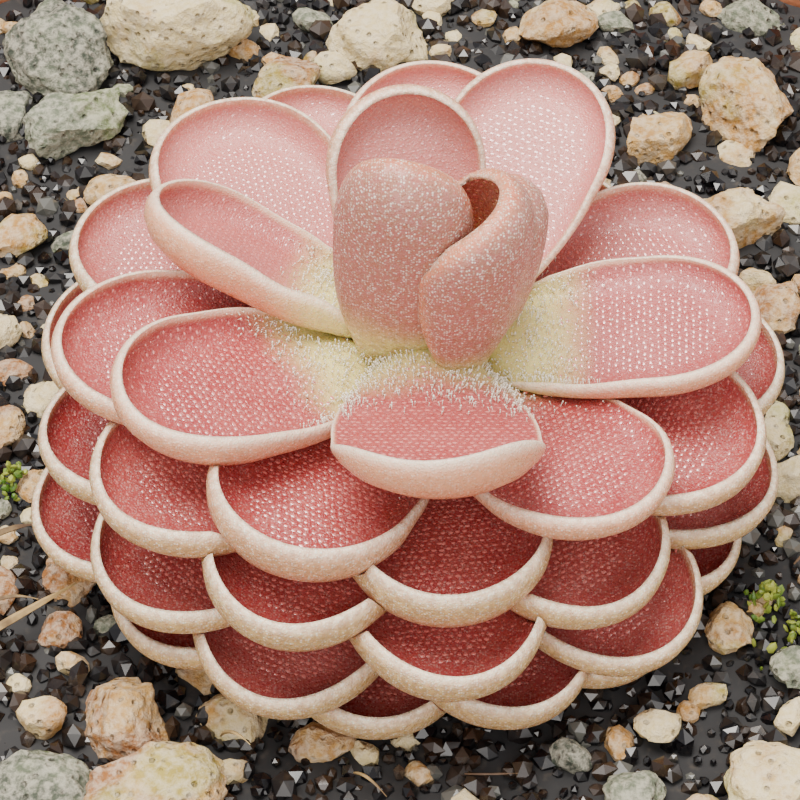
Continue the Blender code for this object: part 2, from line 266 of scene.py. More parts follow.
@dataclass(frozen=True)
class LeafFinish:
    """Fleshy leaf: rose face, cream rim, pale green foot, fine papillae with painted glints, a painted highlight
    along the rim's top, painted shade low on the rim's outer face, and painted light that makes the leaves at the
    back paler.
    """

    young: Colour = (0.40, 0.055, 0.055)
    old: Colour = (0.30, 0.034, 0.034)
    light: Colour = (0.62, 0.17, 0.15)
    deep: Colour = (0.26, 0.016, 0.025)
    # Painted light: a paler rose for the leaves at the back, blended in by their tone.
    painted_light_rose: Colour = (0.84, 0.33, 0.29)
    foot: Colour = (0.74, 0.64, 0.24)
    rim: Colour = (0.74, 0.36, 0.20)
    old_rim: Colour = (0.64, 0.44, 0.19)
    # Partly the margin's own pale edge, partly a painted highlight along the top of the rolled rim.
    crest: Colour = (0.97, 0.78, 0.62)
    under: Colour = (0.42, 0.155, 0.125)
    # Painted shade: a darker peach low on the rim's outer face, below the lit top of the roll.
    painted_shade_peach: Colour = (0.80, 0.24, 0.11)
    # Painted glints: near-white dots on the papillae.
    painted_glint: Colour = (1.0, 0.93, 0.80)

    def make(self) -> bpy.types.Material:
        """Build the material, which reads the leaves' own place and age on each point."""
        finish = Finish("leaf_flesh")
        edge, along, below = finish.trait("leaf_place")[:3]
        age, tone, green_to = finish.trait("leaf_trait")[:3]
        blush, sparkle, _ = finish.trait("leaf_look")[:3]
        patch = finish.speckle(420.0, 3.0)
        wander = finish.calc("MULTIPLY_ADD", patch, 0.12, -0.06)
        edge_wander = finish.calc("ADD", edge, finish.calc("MULTIPLY", wander, 0.4))

        rose = finish.blend(age, self.young, self.old)
        lit = finish.calc("MULTIPLY", finish.ease(patch, 0.38, 0.72), 0.35)
        rose = finish.blend(lit, rose, self.light)
        fleck = finish.calc("MULTIPLY", finish.ease(finish.cells(3300.0), 0.12, 0.50), 0.42)
        rose = finish.blend(fleck, rose, self.deep)
        # Painted light: leaves at the back blend toward a paler rose by their tone, which is mostly set by where they
        # point.
        rose = finish.blend(finish.calc("MULTIPLY", tone, 0.75), rose, self.painted_light_rose)
        face_rim = finish.ease(edge_wander, 0.90, 1.0)
        rim = finish.blend(finish.ease(age, 0.0, 0.45), self.rim, self.old_rim)
        face = finish.blend(face_rim, rose, rim)

        # Beneath: the underside's own colour, then painted shade in peach low on the rim's outer face, then the rim
        # colour toward the margin.
        shifted = finish.calc("SUBTRACT", edge_wander, finish.calc("MULTIPLY", blush, 0.20))
        beneath = finish.blend(finish.ease(shifted, 0.40, 0.66), self.under, self.painted_shade_peach)
        beneath = finish.blend(finish.ease(shifted, 0.66, 0.93), beneath, rim)
        rosy = finish.calc("MULTIPLY", blush, finish.calc("SUBTRACT", 1.0, finish.ease(edge, 0.78, 1.0)))
        beneath = finish.blend(rosy, beneath, self.under)
        skin = finish.blend(below, face, beneath)

        foot_line = finish.calc("ADD", along, wander)
        fade_to = finish.calc("ADD", green_to, 0.20)
        foot = finish.add("MapRange", {"Value": foot_line, "From Min": green_to, "From Max": fade_to,
                                       "To Min": 1.0, "To Max": 0.0}, interpolation_type="SMOOTHSTEP")
        skin = finish.blend(foot.outputs["Result"], skin, self.foot)
        # Painted highlight: the rim's top and margin blend toward a pale crest colour, partly the margin's own pale
        # edge.
        crest = finish.calc("MULTIPLY", finish.ease(edge, 0.93, 1.0), 0.75)
        skin = finish.blend(crest, skin, self.crest)

        # Painted glints: bright dots over the papillae, in cells picked by chance, strongest on the rim and the
        # underside; the same cells shape the papillae's bump.
        papilla = finish.cells(8200.0)
        chance = finish.split(papilla.node.outputs["Color"])[0]
        dots = finish.calc("SUBTRACT", 1.0, finish.ease(papilla, 0.20, 0.62))
        where = finish.calc("MULTIPLY_ADD", finish.calc("MAXIMUM", below, face_rim), 0.80, 0.20)
        here = finish.calc("MULTIPLY", where, sparkle)
        painted_glints = finish.calc("MULTIPLY", finish.calc("MULTIPLY", dots, here), finish.ease(chance, 0.25, 0.95))
        skin = finish.blend(finish.calc("MULTIPLY", painted_glints, 0.85), skin, self.painted_glint)
        mottle = finish.ease(finish.speckle(3000.0, 2.0), 0.62, 0.38)
        skin = finish.blend(finish.calc("MULTIPLY", finish.calc("MULTIPLY", mottle, here), 0.40), skin, (0.34, 0.17, 0.085))

        pores = finish.relief(finish.speckle(2600.0, 0.0), 0.00007, 0.35)
        papillae = finish.relief(dots, 0.00003, 0.6, under=pores)
        rough = finish.calc("MULTIPLY_ADD", chance, 0.35, 0.20)
        return finish.give(
            Base_Color=skin,
            Roughness=rough,
            Normal=papillae,
            Subsurface_Weight=0.25,
            Subsurface_Radius=(1.0, 0.40, 0.25),
            Subsurface_Scale=0.0008,
            Specular_IOR_Level=0.6,
        )


@dataclass(frozen=True)
class DewFinish:
    """Clear sticky dew that glints over the rose of the leaf."""

    colour: Colour = (0.62, 0.150, 0.135)

    def make(self) -> bpy.types.Material:
        """Build the material."""
        finish = Finish("dew")
        haze = finish.blend(finish.speckle(900.0), self.colour, (0.80, 0.28, 0.25))
        return finish.give(
            Base_Color=haze,
            Roughness=0.20,
            IOR=1.45,
            Specular_IOR_Level=1.0,
            Coat_Weight=1.0,
            Coat_IOR=2.1,
            Coat_Roughness=0.16,
        )


@dataclass(frozen=True)
class HairFinish:
    """Fine glassy gland hairs, pale as the foot of a leaf."""

    colour: Colour = (0.95, 0.88, 0.66)

    def make(self) -> bpy.types.Material:
        """Build the material."""
        finish = Finish("gland_hair")
        haze = finish.blend(finish.speckle(1800.0), self.colour, (0.98, 0.97, 0.90))
        return finish.give(
            Base_Color=haze,
            Roughness=0.35,
            Specular_IOR_Level=0.7,
        )


@dataclass(frozen=True)
class FibreFinish:
    """Dry plant fibre: straw, thin roots and dead stalks."""

    straw: Colour = (0.52, 0.36, 0.15)
    dark: Colour = (0.10, 0.055, 0.03)

    def make(self) -> bpy.types.Material:
        """Build the material."""
        finish = Finish("dry_fibre")
        tone = finish.trait("grit_tone")[0]
        streak = finish.calc("ADD", finish.speckle(700.0, 3.0), finish.calc("MULTIPLY", tone, 0.5))
        skin = finish.blend(finish.ease(streak, 0.45, 0.95), self.straw, self.dark)
        grain = finish.relief(finish.speckle(5000.0, 2.0), 0.00004, 0.5)
        return finish.give(Base_Color=skin, Roughness=0.6, Normal=grain)


@dataclass(frozen=True)
class MossFinish:
    """Green moss and algae, each tuft with its own tone."""

    green: Colour = (0.055, 0.13, 0.012)
    yellow: Colour = (0.30, 0.34, 0.05)

    def make(self) -> bpy.types.Material:
        """Build the material."""
        finish = Finish("moss")
        tone = finish.trait("grit_tone")[0]
        cloud = finish.calc("ADD", finish.speckle(1500.0, 3.0), finish.calc("MULTIPLY", tone, 0.5))
        skin = finish.blend(finish.ease(cloud, 0.40, 1.0), self.green, self.yellow)
        return finish.give(Base_Color=skin, Roughness=0.45, Specular_IOR_Level=0.5)


@dataclass(frozen=True)
class GrainFinish:
    """Dark glassy sand; each grain's own tone picks black, brown or smoky grey."""

    black: Colour = (0.0035, 0.0030, 0.0040)
    brown: Colour = (0.026, 0.014, 0.008)
    grey: Colour = (0.10, 0.10, 0.09)

    def make(self) -> bpy.types.Material:
        """Build the material."""
        finish = Finish("dark_sand")
        tone, pick, _ = finish.trait("grit_tone")[:3]
        shade = finish.blend(finish.ease(tone, 0.50, 0.85), self.black, self.brown)
        shade = finish.blend(finish.ease(tone, 0.93, 0.97), shade, self.grey)
        dust = finish.ease(finish.speckle(1500.0, 3.0), 0.55, 0.8)
        shade = finish.blend(finish.calc("MULTIPLY", dust, 0.16), shade, (0.20, 0.15, 0.10))
        rough = finish.calc("MULTIPLY_ADD", pick, 0.35, 0.10)
        return finish.give(Base_Color=shade, Roughness=rough, Specular_IOR_Level=0.8)


@dataclass(frozen=True)
class ChipFinish:
    """Porous mineral chip with stains and painted shade in its pits; each stone's own tone picks how stained it is.
    """

    name: str = "cream_chip"
    pale: Colour = (0.66, 0.53, 0.27)
    stain: Colour = (0.42, 0.21, 0.05)
    algae: Colour = (0.30, 0.31, 0.05)
    pore_shade: Colour = (0.10, 0.06, 0.025)

    def make(self) -> bpy.types.Material:
        """Build the material."""
        finish = Finish(self.name)
        tone, pick, _ = finish.trait("grit_tone")[:3]
        cloud = finish.speckle(330.0, 5.0, 0.6)
        stained = finish.ease(finish.calc("ADD", cloud, finish.calc("MULTIPLY", tone, 0.42)), 0.60, 0.86)
        skin = finish.blend(stained, self.pale, self.stain)
        green = finish.ease(finish.calc("ADD", finish.speckle(210.0, 3.0), finish.calc("MULTIPLY", pick, 0.22)), 0.66, 0.80)
        skin = finish.blend(finish.calc("MULTIPLY", green, 0.55), skin, self.algae)
        grain = finish.speckle(2100.0, 4.0, 0.65)
        # Painted shade: small pits darken toward the pore colour, as well as being sunk by the bump.
        pits = finish.calc("SUBTRACT", 1.0, finish.ease(finish.cells(1500.0), 0.06, 0.30))
        skin = finish.blend(finish.calc("MULTIPLY", pits, 0.55), skin, self.pore_shade)
        skin = finish.blend(finish.calc("MULTIPLY", finish.ease(grain, 0.35, 0.65), 0.35), skin, (0.86, 0.79, 0.64))
        rough = finish.relief(grain, 0.00035, 0.9)
        pitted = finish.relief(finish.calc("SUBTRACT", 1.0, pits), 0.00022, 0.8, under=rough)
        return finish.give(Base_Color=skin, Roughness=0.82, Normal=pitted, Specular_IOR_Level=0.3)


@dataclass(frozen=True)
class ClayFinish:
    """Unglazed fired clay with pale mineral bloom."""

    clay: Colour = (0.50, 0.20, 0.095)
    dark: Colour = (0.34, 0.12, 0.055)
    bloom: Colour = (0.72, 0.55, 0.42)

    def make(self) -> bpy.types.Material:
        """Build the material."""
        finish = Finish("fired_clay")
        cloud = finish.speckle(38.0, 5.0, 0.6)
        skin = finish.blend(finish.ease(cloud, 0.38, 0.66), self.dark, self.clay)
        white = finish.ease(finish.speckle(70.0, 6.0, 0.7), 0.56, 0.78)
        skin = finish.blend(finish.calc("MULTIPLY", white, 0.45), skin, self.bloom)
        fine = finish.speckle(1400.0, 4.0, 0.6)
        skin = finish.blend(finish.calc("MULTIPLY", finish.ease(fine, 0.5, 0.75), 0.25), skin, self.dark)
        grain = finish.relief(fine, 0.00022, 0.6)
        return finish.give(Base_Color=skin, Roughness=0.88, Normal=grain, Specular_IOR_Level=0.25)


@dataclass
class Leaf:
    """One leaf's outline and pose. Lengths are in reaches of the rosette, angles in radians."""

    azimuth: float
    reach: float
    tip: float
    root: float = CROWN_HEIGHT
    start: float = 0.0
    width: float = 0.47
    widest_at: float = 0.72
    arch: float = math.radians(14)
    depth: float = 0.055
    rim: float = 0.13
    rim_from: float = 0.46
    floor: float = 0.64
    foot: tuple[float, float] = (0.0, 0.0)
    folds: tuple[float, float] = (0.0, 0.0)
    roll: float = 0.0
    hump: float = 0.075
    side_rim: float = 0.34
    age: float = 0.0
    # Tone: mostly painted light, paler for leaves that point to the back, with a little random spread.
    tone: float = 0.0
    green_to: float = 0.28
    blush: float = 0.0
    # Sparkle: how strong the leaf's painted glints and its mottle are.
    sparkle: float = 1.0
    seed: int = 0
    tucked: bool = True
    covers: bool = True

    def half_width(self, s: Array) -> Array:
        """Half the blade's width at the fraction s of its length, up to its widest place."""
        eased = smooth_step(s / (0.88 * self.widest_at))
        return self.width / 2 * (PETIOLE_WIDTH + (1 - PETIOLE_WIDTH) * eased)

    def flat(self, around: Array, radius: Array) -> tuple[Array, Array]:
        """A point of the flat blade.

        Args:
            around: Where the point lies round the outline, from -1 at the foot's right over 0
                at the tip to 1 at the foot's left.
            radius: How far it is from the midline, where the margin is at 1.

        Returns:
            The fraction of the blade's length, and the distance to the side.
        """
        side, sweep = np.sign(around), np.abs(around)
        at_tip = sweep < TIP_SHARE
        angle = np.minimum(sweep / TIP_SHARE, 1.0) * math.pi / 2
        tip_s = self.widest_at + (1 - self.widest_at) * radius * np.cos(angle)
        tip_y = self.width / 2 * radius * np.sin(angle)
        side_s = self.widest_at * (1 - np.clip((sweep - TIP_SHARE) / (1 - TIP_SHARE), 0, 1))
        side_y = radius * self.half_width(side_s)
        s = np.where(at_tip, tip_s, side_s)
        return s, side * np.where(at_tip, tip_y, side_y)

    def edge_share(self, s: Array, y: Array) -> Array:
        """How far a point of the flat blade is from the midline, where the margin is at 1."""
        ahead = np.maximum(s - self.widest_at, 0.0) / (1 - self.widest_at)
        return np.hypot(ahead, np.abs(y) / self.half_width(np.minimum(s, self.widest_at)))

    def raised(self, s: Array, y: Array) -> Array:
        """A point of the upper face, in the leaf's own upright frame.

        Args:
            s: The fraction of the blade's length.
            y: The distance to the side on the flat blade.

        Returns:
            Rows of x outwards, y to the side and z up.
        """
        edge = self.edge_share(s, y)
        tipness = smooth_step((s - self.rim_from) / (0.98 - self.rim_from))
        full_curl = SIDE_CURL + (TIP_CURL - SIDE_CURL) * tipness
        curl = np.maximum(0.0, (edge - self.floor) / (1 - self.floor)) * full_curl
        risen = smooth_step((s - 0.10) / 0.32) * (self.side_rim + (1 - self.side_rim) * tipness)
        lift = self.rim * risen * (1 - np.cos(curl)) / (1 - np.cos(full_curl))
        lift *= 1 + self.unevenness(s, y)
        rounded = self.floor + (1 - self.floor) * np.sin(curl) / np.sin(full_curl)
        drawn_in = np.where(curl > 0, rounded / np.maximum(edge, 1e-9), 1.0)
        lift += self.hump * np.exp(-(((s - 0.24) / 0.17) ** 2)) * (1 - np.minimum(edge, 1.0) ** 2)
        y = y * drawn_in
        s = np.where(s > self.widest_at, self.widest_at + (s - self.widest_at) * drawn_in, s)
        for sign, fold in zip((1, -1), self.folds):
            if fold:
                bend = 2 * fold / self.width
                on_side = np.sign(y) == sign
                folded = np.abs(y) * bend
                lift = np.where(on_side, lift + (1 - np.cos(folded)) / bend, lift)
                y = np.where(on_side, sign * np.sin(folded) / bend, y)
        y, lift = (
            y * math.cos(self.roll) - lift * math.sin(self.roll),
            y * math.sin(self.roll) + lift * math.cos(self.roll),
        )
        x, z, slope = self.midline(s)
        return np.stack((x - np.sin(slope) * lift, y, z + np.cos(slope) * lift), axis=-1)

    def unevenness(self, s: Array, y: Array) -> Array:
        """The rim's slow rise and fall, each leaf's own."""
        phase = self.seed * 1.7
        bearing = np.arctan2(y, s - 0.45)
        return 0.09 * np.sin(3 * bearing + phase) + 0.05 * np.sin(7 * bearing + 2 * phase)

    def midline(self, s: Array) -> tuple[Array, Array, Array]:
        """The midline's place outwards and up, and its slope, at the fraction s."""
        chord_x, chord_z = self.reach - self.start, self.tip - self.root
        length = math.hypot(chord_x, chord_z) * self.arch / math.sin(self.arch)
        first = math.atan2(chord_z, chord_x) + self.arch
        turn = -2 * self.arch
        slope = first + turn * s
        x = self.start + length / turn * (np.sin(slope) - math.sin(first))
        z = self.root - length / turn * (np.cos(slope) - math.cos(first))
        return x, z, slope

    def normal(self, s: Array, y: Array) -> Array:
        """The upper face's outward direction, in the leaf's own frame."""
        step = 1e-3
        ahead = self.raised(s + step, y) - self.raised(s - step, y)
        aside = self.raised(s, y + step) - self.raised(s, y - step)
        across = np.cross(ahead, aside)
        return across / np.linalg.norm(across, axis=-1, keepdims=True)

    def thickness(self, s: Array, edge: Array) -> Array:
        """The flesh's depth below the upper face, in reaches: thick inside, keen at the margin."""
        body = self.depth * (1.10 - 0.15 * s)
        return body * np.sqrt(np.clip((1 - edge) / 0.32, 0.0, 1.0))

    def placed(self, points: Array) -> Array:
        """Points of the leaf's own frame, brought to the leaning plant, in metres."""
        turn = np.array(Matrix.Rotation(self.azimuth, 3, "Z"))
        turned = points @ turn.T + np.array((*self.foot, 0.0))
        turned[..., 0] += CROWN_SHIFT * self.root / CROWN_HEIGHT
        return np.array(PLANT_FOOT) + turned @ np.array(LEAN).T * REACH

    def turned(self, directions: Array) -> Array:
        """Directions of the leaf's own frame, turned as the plant leans."""
        turn = np.array(LEAN @ Matrix.Rotation(self.azimuth, 3, "Z"))
        return directions @ turn.T


def golden_leaves() -> list[Leaf]:
    """The grown leaves, youngest to oldest, down the golden-angle spiral.

    Returns:
        The leaves with their places, widths and ages.
    """
    nudges = {
        0: -8, 1: 20, 2: -7, 3: -17, 4: -1, 5: -4, 6: 17, 7: -12, 8: -15, 9: 10, 10: -8, 11: 13,
        13: -15, 14: 0, 15: -14, 16: 9, 17: 8, 18: -19, 19: 12, 20: 6, 21: 5, 23: -15, 24: 7,
        26: 7, 29: -2, 31: -4, 32: 6, 34: 6, 37: -3, 39: -4, 42: 3,
    }
    growth = {
        0: 0.02, 2: 0.04, 3: 0.04, 4: 0.02, 5: -0.03, 6: 0.07, 8: -0.02, 9: 0.06, 11: 0.04, 13: -0.07,
        14: 0.04, 16: 0.01, 17: 0.08, 18: -0.05, 20: -0.08, 21: 0.02, 24: 0.02, 26: 0.03, 29: 0.03,
        32: 0.05, 34: 0.03, 37: 0.02, 39: 0.04, 42: 0.02,
    }
    rims = {0: 0.125, 1: 0.075, 2: 0.055, 3: 0.085, 5: 0.055}
    widths = {0: 0.49, 1: 0.34, 2: 0.41, 3: 0.43, 7: 0.43}
    draw = random.Random(5)
    leaves = []
    for index in range(43):
        azimuth = math.radians(279 - 137.508 * index + nudges.get(index, 0))
        crest = -0.25 + 0.95 * math.exp(-index / 35.6)
        if index <= 24:
            crest += 0.06 * max(0.0, -math.sin(azimuth))
        reach = 1.0 - 0.26 * math.exp(-index / 9) - 0.0055 * max(0, index - 24) - INSET
        facing = max(0.0, -math.sin(azimuth))
        rim = rims.get(index, 0.065 + 0.055 * facing ** 4 + 0.015 * min(1.0, index / 8))
        age = min(1.0, max(0.0, (index - 4) / 22))
        leaf = Leaf(
            azimuth, reach + growth.get(index, 0.0), crest - 0.115, CROWN_HEIGHT - 0.010 * index,
            rim=rim, side_rim=0.85 - 0.45 * facing, width=widths.get(index, 0.46) * draw.uniform(0.98, 1.03),
            roll=math.radians(draw.uniform(-3, 3)), age=age,
            # Tone is mostly painted light: leaves pointing to the back are paler, with a little random spread.
            tone=0.15 * draw.random() + 0.85 * max(0.0, math.sin(azimuth)),
            # Sparkle sets how strong the painted glints are, more on the older leaves.
            sparkle=min(1.0, 0.35 + index / 14), green_to=0.42 - 0.25 * min(1.0, index / 10),
            seed=index,
        )
        leaves.append(leaf)
    leaves[0].widest_at, leaves[0].rim_from, leaves[0].side_rim = 0.75, 0.68, 0.0
    leaves[0].hump, leaves[0].tip, leaves[0].depth = 0.10, leaves[0].tip + 0.05, 0.030
    leaves[0].green_to = 0.27
    leaves[1].roll = math.radians(26)
    return leaves


def crown_leaves() -> list[Leaf]:
    """The young leaves at the crown: two open ones behind, three upright and closed."""
    # The open young leaves at the back get a high tone, which paints them lighter; the closed ones get none.
    young = {"age": 0.05, "hump": 0.03, "tucked": False, "tone": 0.8}
    closed = {**young, "tone": 0.0, "blush": 1.0, "green_to": 0.27, "covers": False}
    return [
        Leaf(math.radians(63), 0.74, 0.66, width=0.42, rim=0.07, seed=50, **young),
        Leaf(
            math.radians(103), 0.46, 0.80, width=0.37, arch=math.radians(8), rim=0.08, seed=51,
            **young,
        ),
        Leaf(
            math.radians(256), 0.09, 1.07, start=0.05, width=0.33, arch=math.radians(-12), rim=0.05,
            floor=0.55, foot=(-0.075, 0.0), folds=(1.0, 1.0), seed=52, **closed,
        ),
        Leaf(
            math.radians(345), 0.12, 0.965, start=0.05, width=0.50, arch=math.radians(-13), rim=0.02,
            floor=0.55, foot=(0.045, -0.03), folds=(2.1, 1.8), seed=53, **closed,
        ),
        Leaf(
            math.radians(350), 0.15, 0.88, start=0.05, width=0.32, arch=math.radians(-12), rim=0.05,
            floor=0.55, foot=(0.065, 0.05), folds=(1.2, 1.2), seed=54, **closed,
        ),
    ]


@dataclass
class Rosette:
    """The plant: leaves, the pale crown that carries them, and their dew."""

    crown: list[Leaf] = field(default_factory=crown_leaves)
    grown: list[Leaf] = field(default_factory=golden_leaves)
    young_count: int = 12
    trees: list[tuple[BVHTree, Array, Array, bool]] = field(default_factory=list)
    dew_radius: float = 0.000105
    dew_rows: tuple[float, float] = (0.00034, 0.00036)
    hair_rows: tuple[float, float] = (0.00032, 0.00032)
    hair_length: float = 0.00026
    hair_radius: float = 0.000028
    hairy: tuple[int, ...] = (0, 1, 2, 3, 4, 5, 7, 8)

    def build(self) -> None:
        """Build and dress the rosette."""
        flesh = LeafFinish().make()
        parts = {
            "crown_leaves": self.crown,
            "upper_leaves": self.grown[: self.young_count],
            "lower_leaves": self.grown[self.young_count:],
        }
        dew = DewFinish().make()
        hairs: list[tuple[Array, Array]] = []
        for name, leaves in parts.items():
            pieces, drops = [], []
            for leaf in leaves:
                pieces.append(self.make_leaf(leaf))
                drops.append(self.dew_on(leaf))
                if leaf.seed in self.hairy:
                    hairs.append(self.hairs_on(leaf))
                self.remember(pieces[-1], leaf.covers)
            piece = join_pieces(pieces, name)
            bpy.ops.object.shade_smooth()
            settle(piece, flesh, "rosette" if name == "upper_leaves" else None)
            rows = [np.concatenate(part) for part in zip(*drops)]
            drops = scatter_drops(*rows, name.replace("leaves", "dew"))
            settle(drops, dew)
        settle(self.make_core(), flesh)
        settle(self.make_hairs(hairs), HairFinish().make())

    def make_leaf(self, leaf: Leaf) -> bpy.types.Object:
        """Shape one leaf from a flat grid.

        Args:
            leaf: The leaf's outline and pose.

        Returns:
            The closed leaf.
        """
        stations = UPPER_RADII + UNDER_RADII
        deselect_all()
        bpy.ops.mesh.primitive_grid_add(
            x_subdivisions=AROUND_FACES, y_subdivisions=len(stations) - 1, size=2
        )
        piece = bpy.context.object
        grid = read_points(piece.data)
        around = grid[:, 0]
        step = np.rint((grid[:, 1] + 1) / 2 * (len(stations) - 1)).astype(int)
        radius = np.array(stations)[step]
        below = step >= len(UPPER_RADII)
        s, y = leaf.flat(around, radius)
        top = leaf.raised(s, y)
        depth = np.where(below, leaf.thickness(s, radius), 0.0)
        points = leaf.placed(top - leaf.normal(s, y) * depth[:, None])
        if leaf.tucked:
            self.tuck_under(points)
        write_points(piece.data, points)
        write_trait(piece.data, "leaf_place", np.stack((radius, s, below * 1.0), axis=-1))
        # The trait carries age, tone (mostly painted light on the leaves at the back) and where the green foot ends.
        traits = np.tile((leaf.age, leaf.tone, leaf.green_to), (len(grid), 1))
        write_trait(piece.data, "leaf_trait", traits)
        looks = np.tile((leaf.blush, leaf.sparkle, 0.0), (len(grid), 1))
        write_trait(piece.data, "leaf_look", looks)
        bpy.ops.object.mode_set(mode="EDIT")
        bpy.ops.mesh.select_all(action="SELECT")
        bpy.ops.mesh.remove_doubles(threshold=2e-6)
        bpy.ops.mesh.normals_make_consistent(inside=False)
        bpy.ops.object.mode_set(mode="OBJECT")
        return piece

    def remember(self, piece: bpy.types.Object, covers: bool) -> None:
        """Keep a finished leaf, so that older leaves and dew can keep clear of it.

        Args:
            piece: The leaf.
            covers: Whether older leaves lie under it.
        """
        points = read_points(piece.data)
        faces = [tuple(polygon.vertices) for polygon in piece.data.polygons]
        tree = BVHTree.FromPolygons([tuple(point) for point in points], faces)
        self.trees.append((tree, points.min(0), points.max(0), covers))

    def tuck_under(self, points: Array) -> Array:
        """Press a leaf's points down below the younger leaves that lie over them.

        Args:
            points: The leaf's points, which are moved in place.

        Returns:
            True for each point that was pressed down.
        """
        down = LEAN @ Vector((0.0, 0.0, -1.0))
        reach_down = 0.006
        pressed = np.zeros(len(points), dtype=bool)
        for tree, low, high, covers in self.trees:
            if not covers:
                continue
            near = np.all((points[:, :2] > low[:2]) & (points[:, :2] < high[:2]), axis=1)
            for index in np.nonzero(near & (points[:, 2] > low[2]))[0]:
                point = Vector(points[index])
                hit = tree.ray_cast(point, down, reach_down)[0]
                while hit is not None:
                    point = hit + down * UNDER_GAP
                    pressed[index] = True
                    hit = tree.ray_cast(point, down, reach_down)[0]
                points[index] = point
        return pressed

    def make_core(self) -> bpy.types.Object:
        """Turn the pale crown and the stem that the leaves grow from."""
        outline = [
            (0.001, 0.335), (0.08, 0.33), (0.16, 0.315), (0.24, 0.285), (0.31, 0.24), (0.36, 0.19),
            (0.40, 0.12), (0.43, 0.06), (0.42, -0.05), (0.30, -0.12), (0.15, -0.14),
        ]
        points = [(0.003, -0.0087)] + [(r * REACH, PLANT_RISE + z * REACH) for r, z in reversed(outline)]
        piece = turn_outline("crown_core", points, 48, closed=False)
        points_now = read_points(piece.data)
        points_now += np.array((0.0, PLANT_Y, SOIL_LEVEL))
        write_points(piece.data, points_now)
        count = len(points_now)
        write_trait(piece.data, "leaf_place", np.tile((0.0, 0.0, 0.0), (count, 1)))
        write_trait(piece.data, "leaf_trait", np.tile((0.0, 0.0, 0.28), (count, 1)))
        write_trait(piece.data, "leaf_look", np.tile((0.0, 0.0, 0.0), (count, 1)))
        return piece

    def dew_on(self, leaf: Leaf) -> tuple[Array, Array, Array, Array]:
        """Set drops of dew in rows over a leaf's upper face, where no leaf covers it.

        Args:
            leaf: The leaf that carries the drops.

        Returns:
            The drops' feet, their directions away from the leaf and across it, and their radii.
        """
        draw = np.random.default_rng(100 + leaf.seed)
        length = math.hypot(leaf.reach - leaf.start, leaf.tip - leaf.root) * REACH
        rows = int(length / self.dew_rows[0])
        columns = int(leaf.width * REACH / self.dew_rows[1])
        s, y = np.meshgrid(np.arange(rows) / rows, np.arange(columns + 1) / columns - 0.5)
        y = y + (np.rint(s * rows) % 2) * 0.5 / columns
        s = s + draw.normal(0, 0.10 / rows, s.shape)
        y = (y + draw.normal(0, 0.10 / columns, y.shape)) * leaf.width
        pink_from = leaf.green_to + draw.uniform(0.06, 0.14, s.shape)
        keep = (leaf.edge_share(s, y) < 0.91) & (s > pink_from)
        s, y = s[keep], y[keep]
        places, normals = leaf.placed(leaf.raised(s, y)), leaf.turned(leaf.normal(s, y))
        open_air = self.clear_of_leaves(places, normals)
        if leaf.tucked:
            open_air &= ~self.tuck_under(places.copy())
        sizes = self.dew_radius * draw.uniform(0.70, 1.20, len(s))
        across = np.tile(leaf.turned(np.array((0.0, 1.0, 0.0))), (len(s), 1))
        return places[open_air], normals[open_air], across[open_air], sizes[open_air]

    def hairs_on(self, leaf: Leaf) -> tuple[Array, Array]:
        """Set fine gland hairs over the pale foot of a young leaf and along its sides.

        Args:
            leaf: The leaf that carries the hairs.

        Returns:
            The hairs' feet, and their directions away from the leaf.
        """
        draw = np.random.default_rng(300 + leaf.seed)
        length = math.hypot(leaf.reach - leaf.start, leaf.tip - leaf.root) * REACH
        count = int(1.4 * length * leaf.width * REACH / (self.hair_rows[0] * self.hair_rows[1]))
        s, y = draw.uniform(0.18, 0.66, count), draw.uniform(-0.5, 0.5, count) * leaf.width
        edge = leaf.edge_share(s, y)
        wanted = np.exp(-(((s - 0.34) / 0.13) ** 2)) + 0.9 * np.exp(-(((edge - 0.86) / 0.12) ** 2))
        keep = (edge < 1.0) & (draw.random(count) < wanted * (s < 0.60 - 0.12 * draw.random(count)))
        s, y = s[keep], y[keep]
        places, normals = leaf.placed(leaf.raised(s, y)), leaf.turned(leaf.normal(s, y))
        open_air = self.clear_of_leaves(places, normals)
        if leaf.tucked:
            open_air &= ~self.tuck_under(places.copy())
        return places[open_air], normals[open_air] + draw.normal(0, 0.22, (int(open_air.sum()), 3))

    def make_hairs(self, hairs: list[tuple[Array, Array]]) -> bpy.types.Object:
        """Build the gland hairs: a thin tapered stalk each, with a bead on its end.

        Args:
            hairs: The hairs' feet and directions, leaf by leaf.

        Returns:
            All the hairs, as one object.
        """
        feet, ways = (np.concatenate(part) for part in zip(*hairs))
        draw = np.random.default_rng(77)
        ways /= np.linalg.norm(ways, axis=1, keepdims=True)
        aside = np.cross(ways, (0.3, 0.5, 0.81))
        aside /= np.linalg.norm(aside, axis=1, keepdims=True)
        other = np.cross(ways, aside)
        turns = [(math.cos(a), math.sin(a)) for a in (0.0, 2.094, 4.189)]
        thin, bead = self.hair_radius, self.hair_radius * 2.0
        tall = self.hair_length
        shape = [(c * thin, d * thin, -0.00002) for c, d in turns]
        shape += [(c * thin * 0.7, d * thin * 0.7, tall) for c, d in turns]
        shape += [(0, 0, tall - bead), (bead, 0, tall), (-bead, 0, tall), (0, bead, tall),
                  (0, -bead, tall), (0, 0, tall + bead)]
        faces = [(0, 1, 4), (0, 4, 3), (1, 2, 5), (1, 5, 4), (2, 0, 3), (2, 3, 5), (2, 1, 0), (3, 4, 5)]
        faces += [(6, 9, 7), (6, 8, 9), (6, 10, 8), (6, 7, 10), (11, 7, 9), (11, 9, 8), (11, 8, 10), (11, 10, 7)]
        axes = np.stack((aside, other, ways), axis=1) * draw.uniform(0.6, 1.25, len(feet))[:, None, None]
        points = feet[:, None, :] + np.einsum("ki,nij->nkj", np.array(shape), axes)
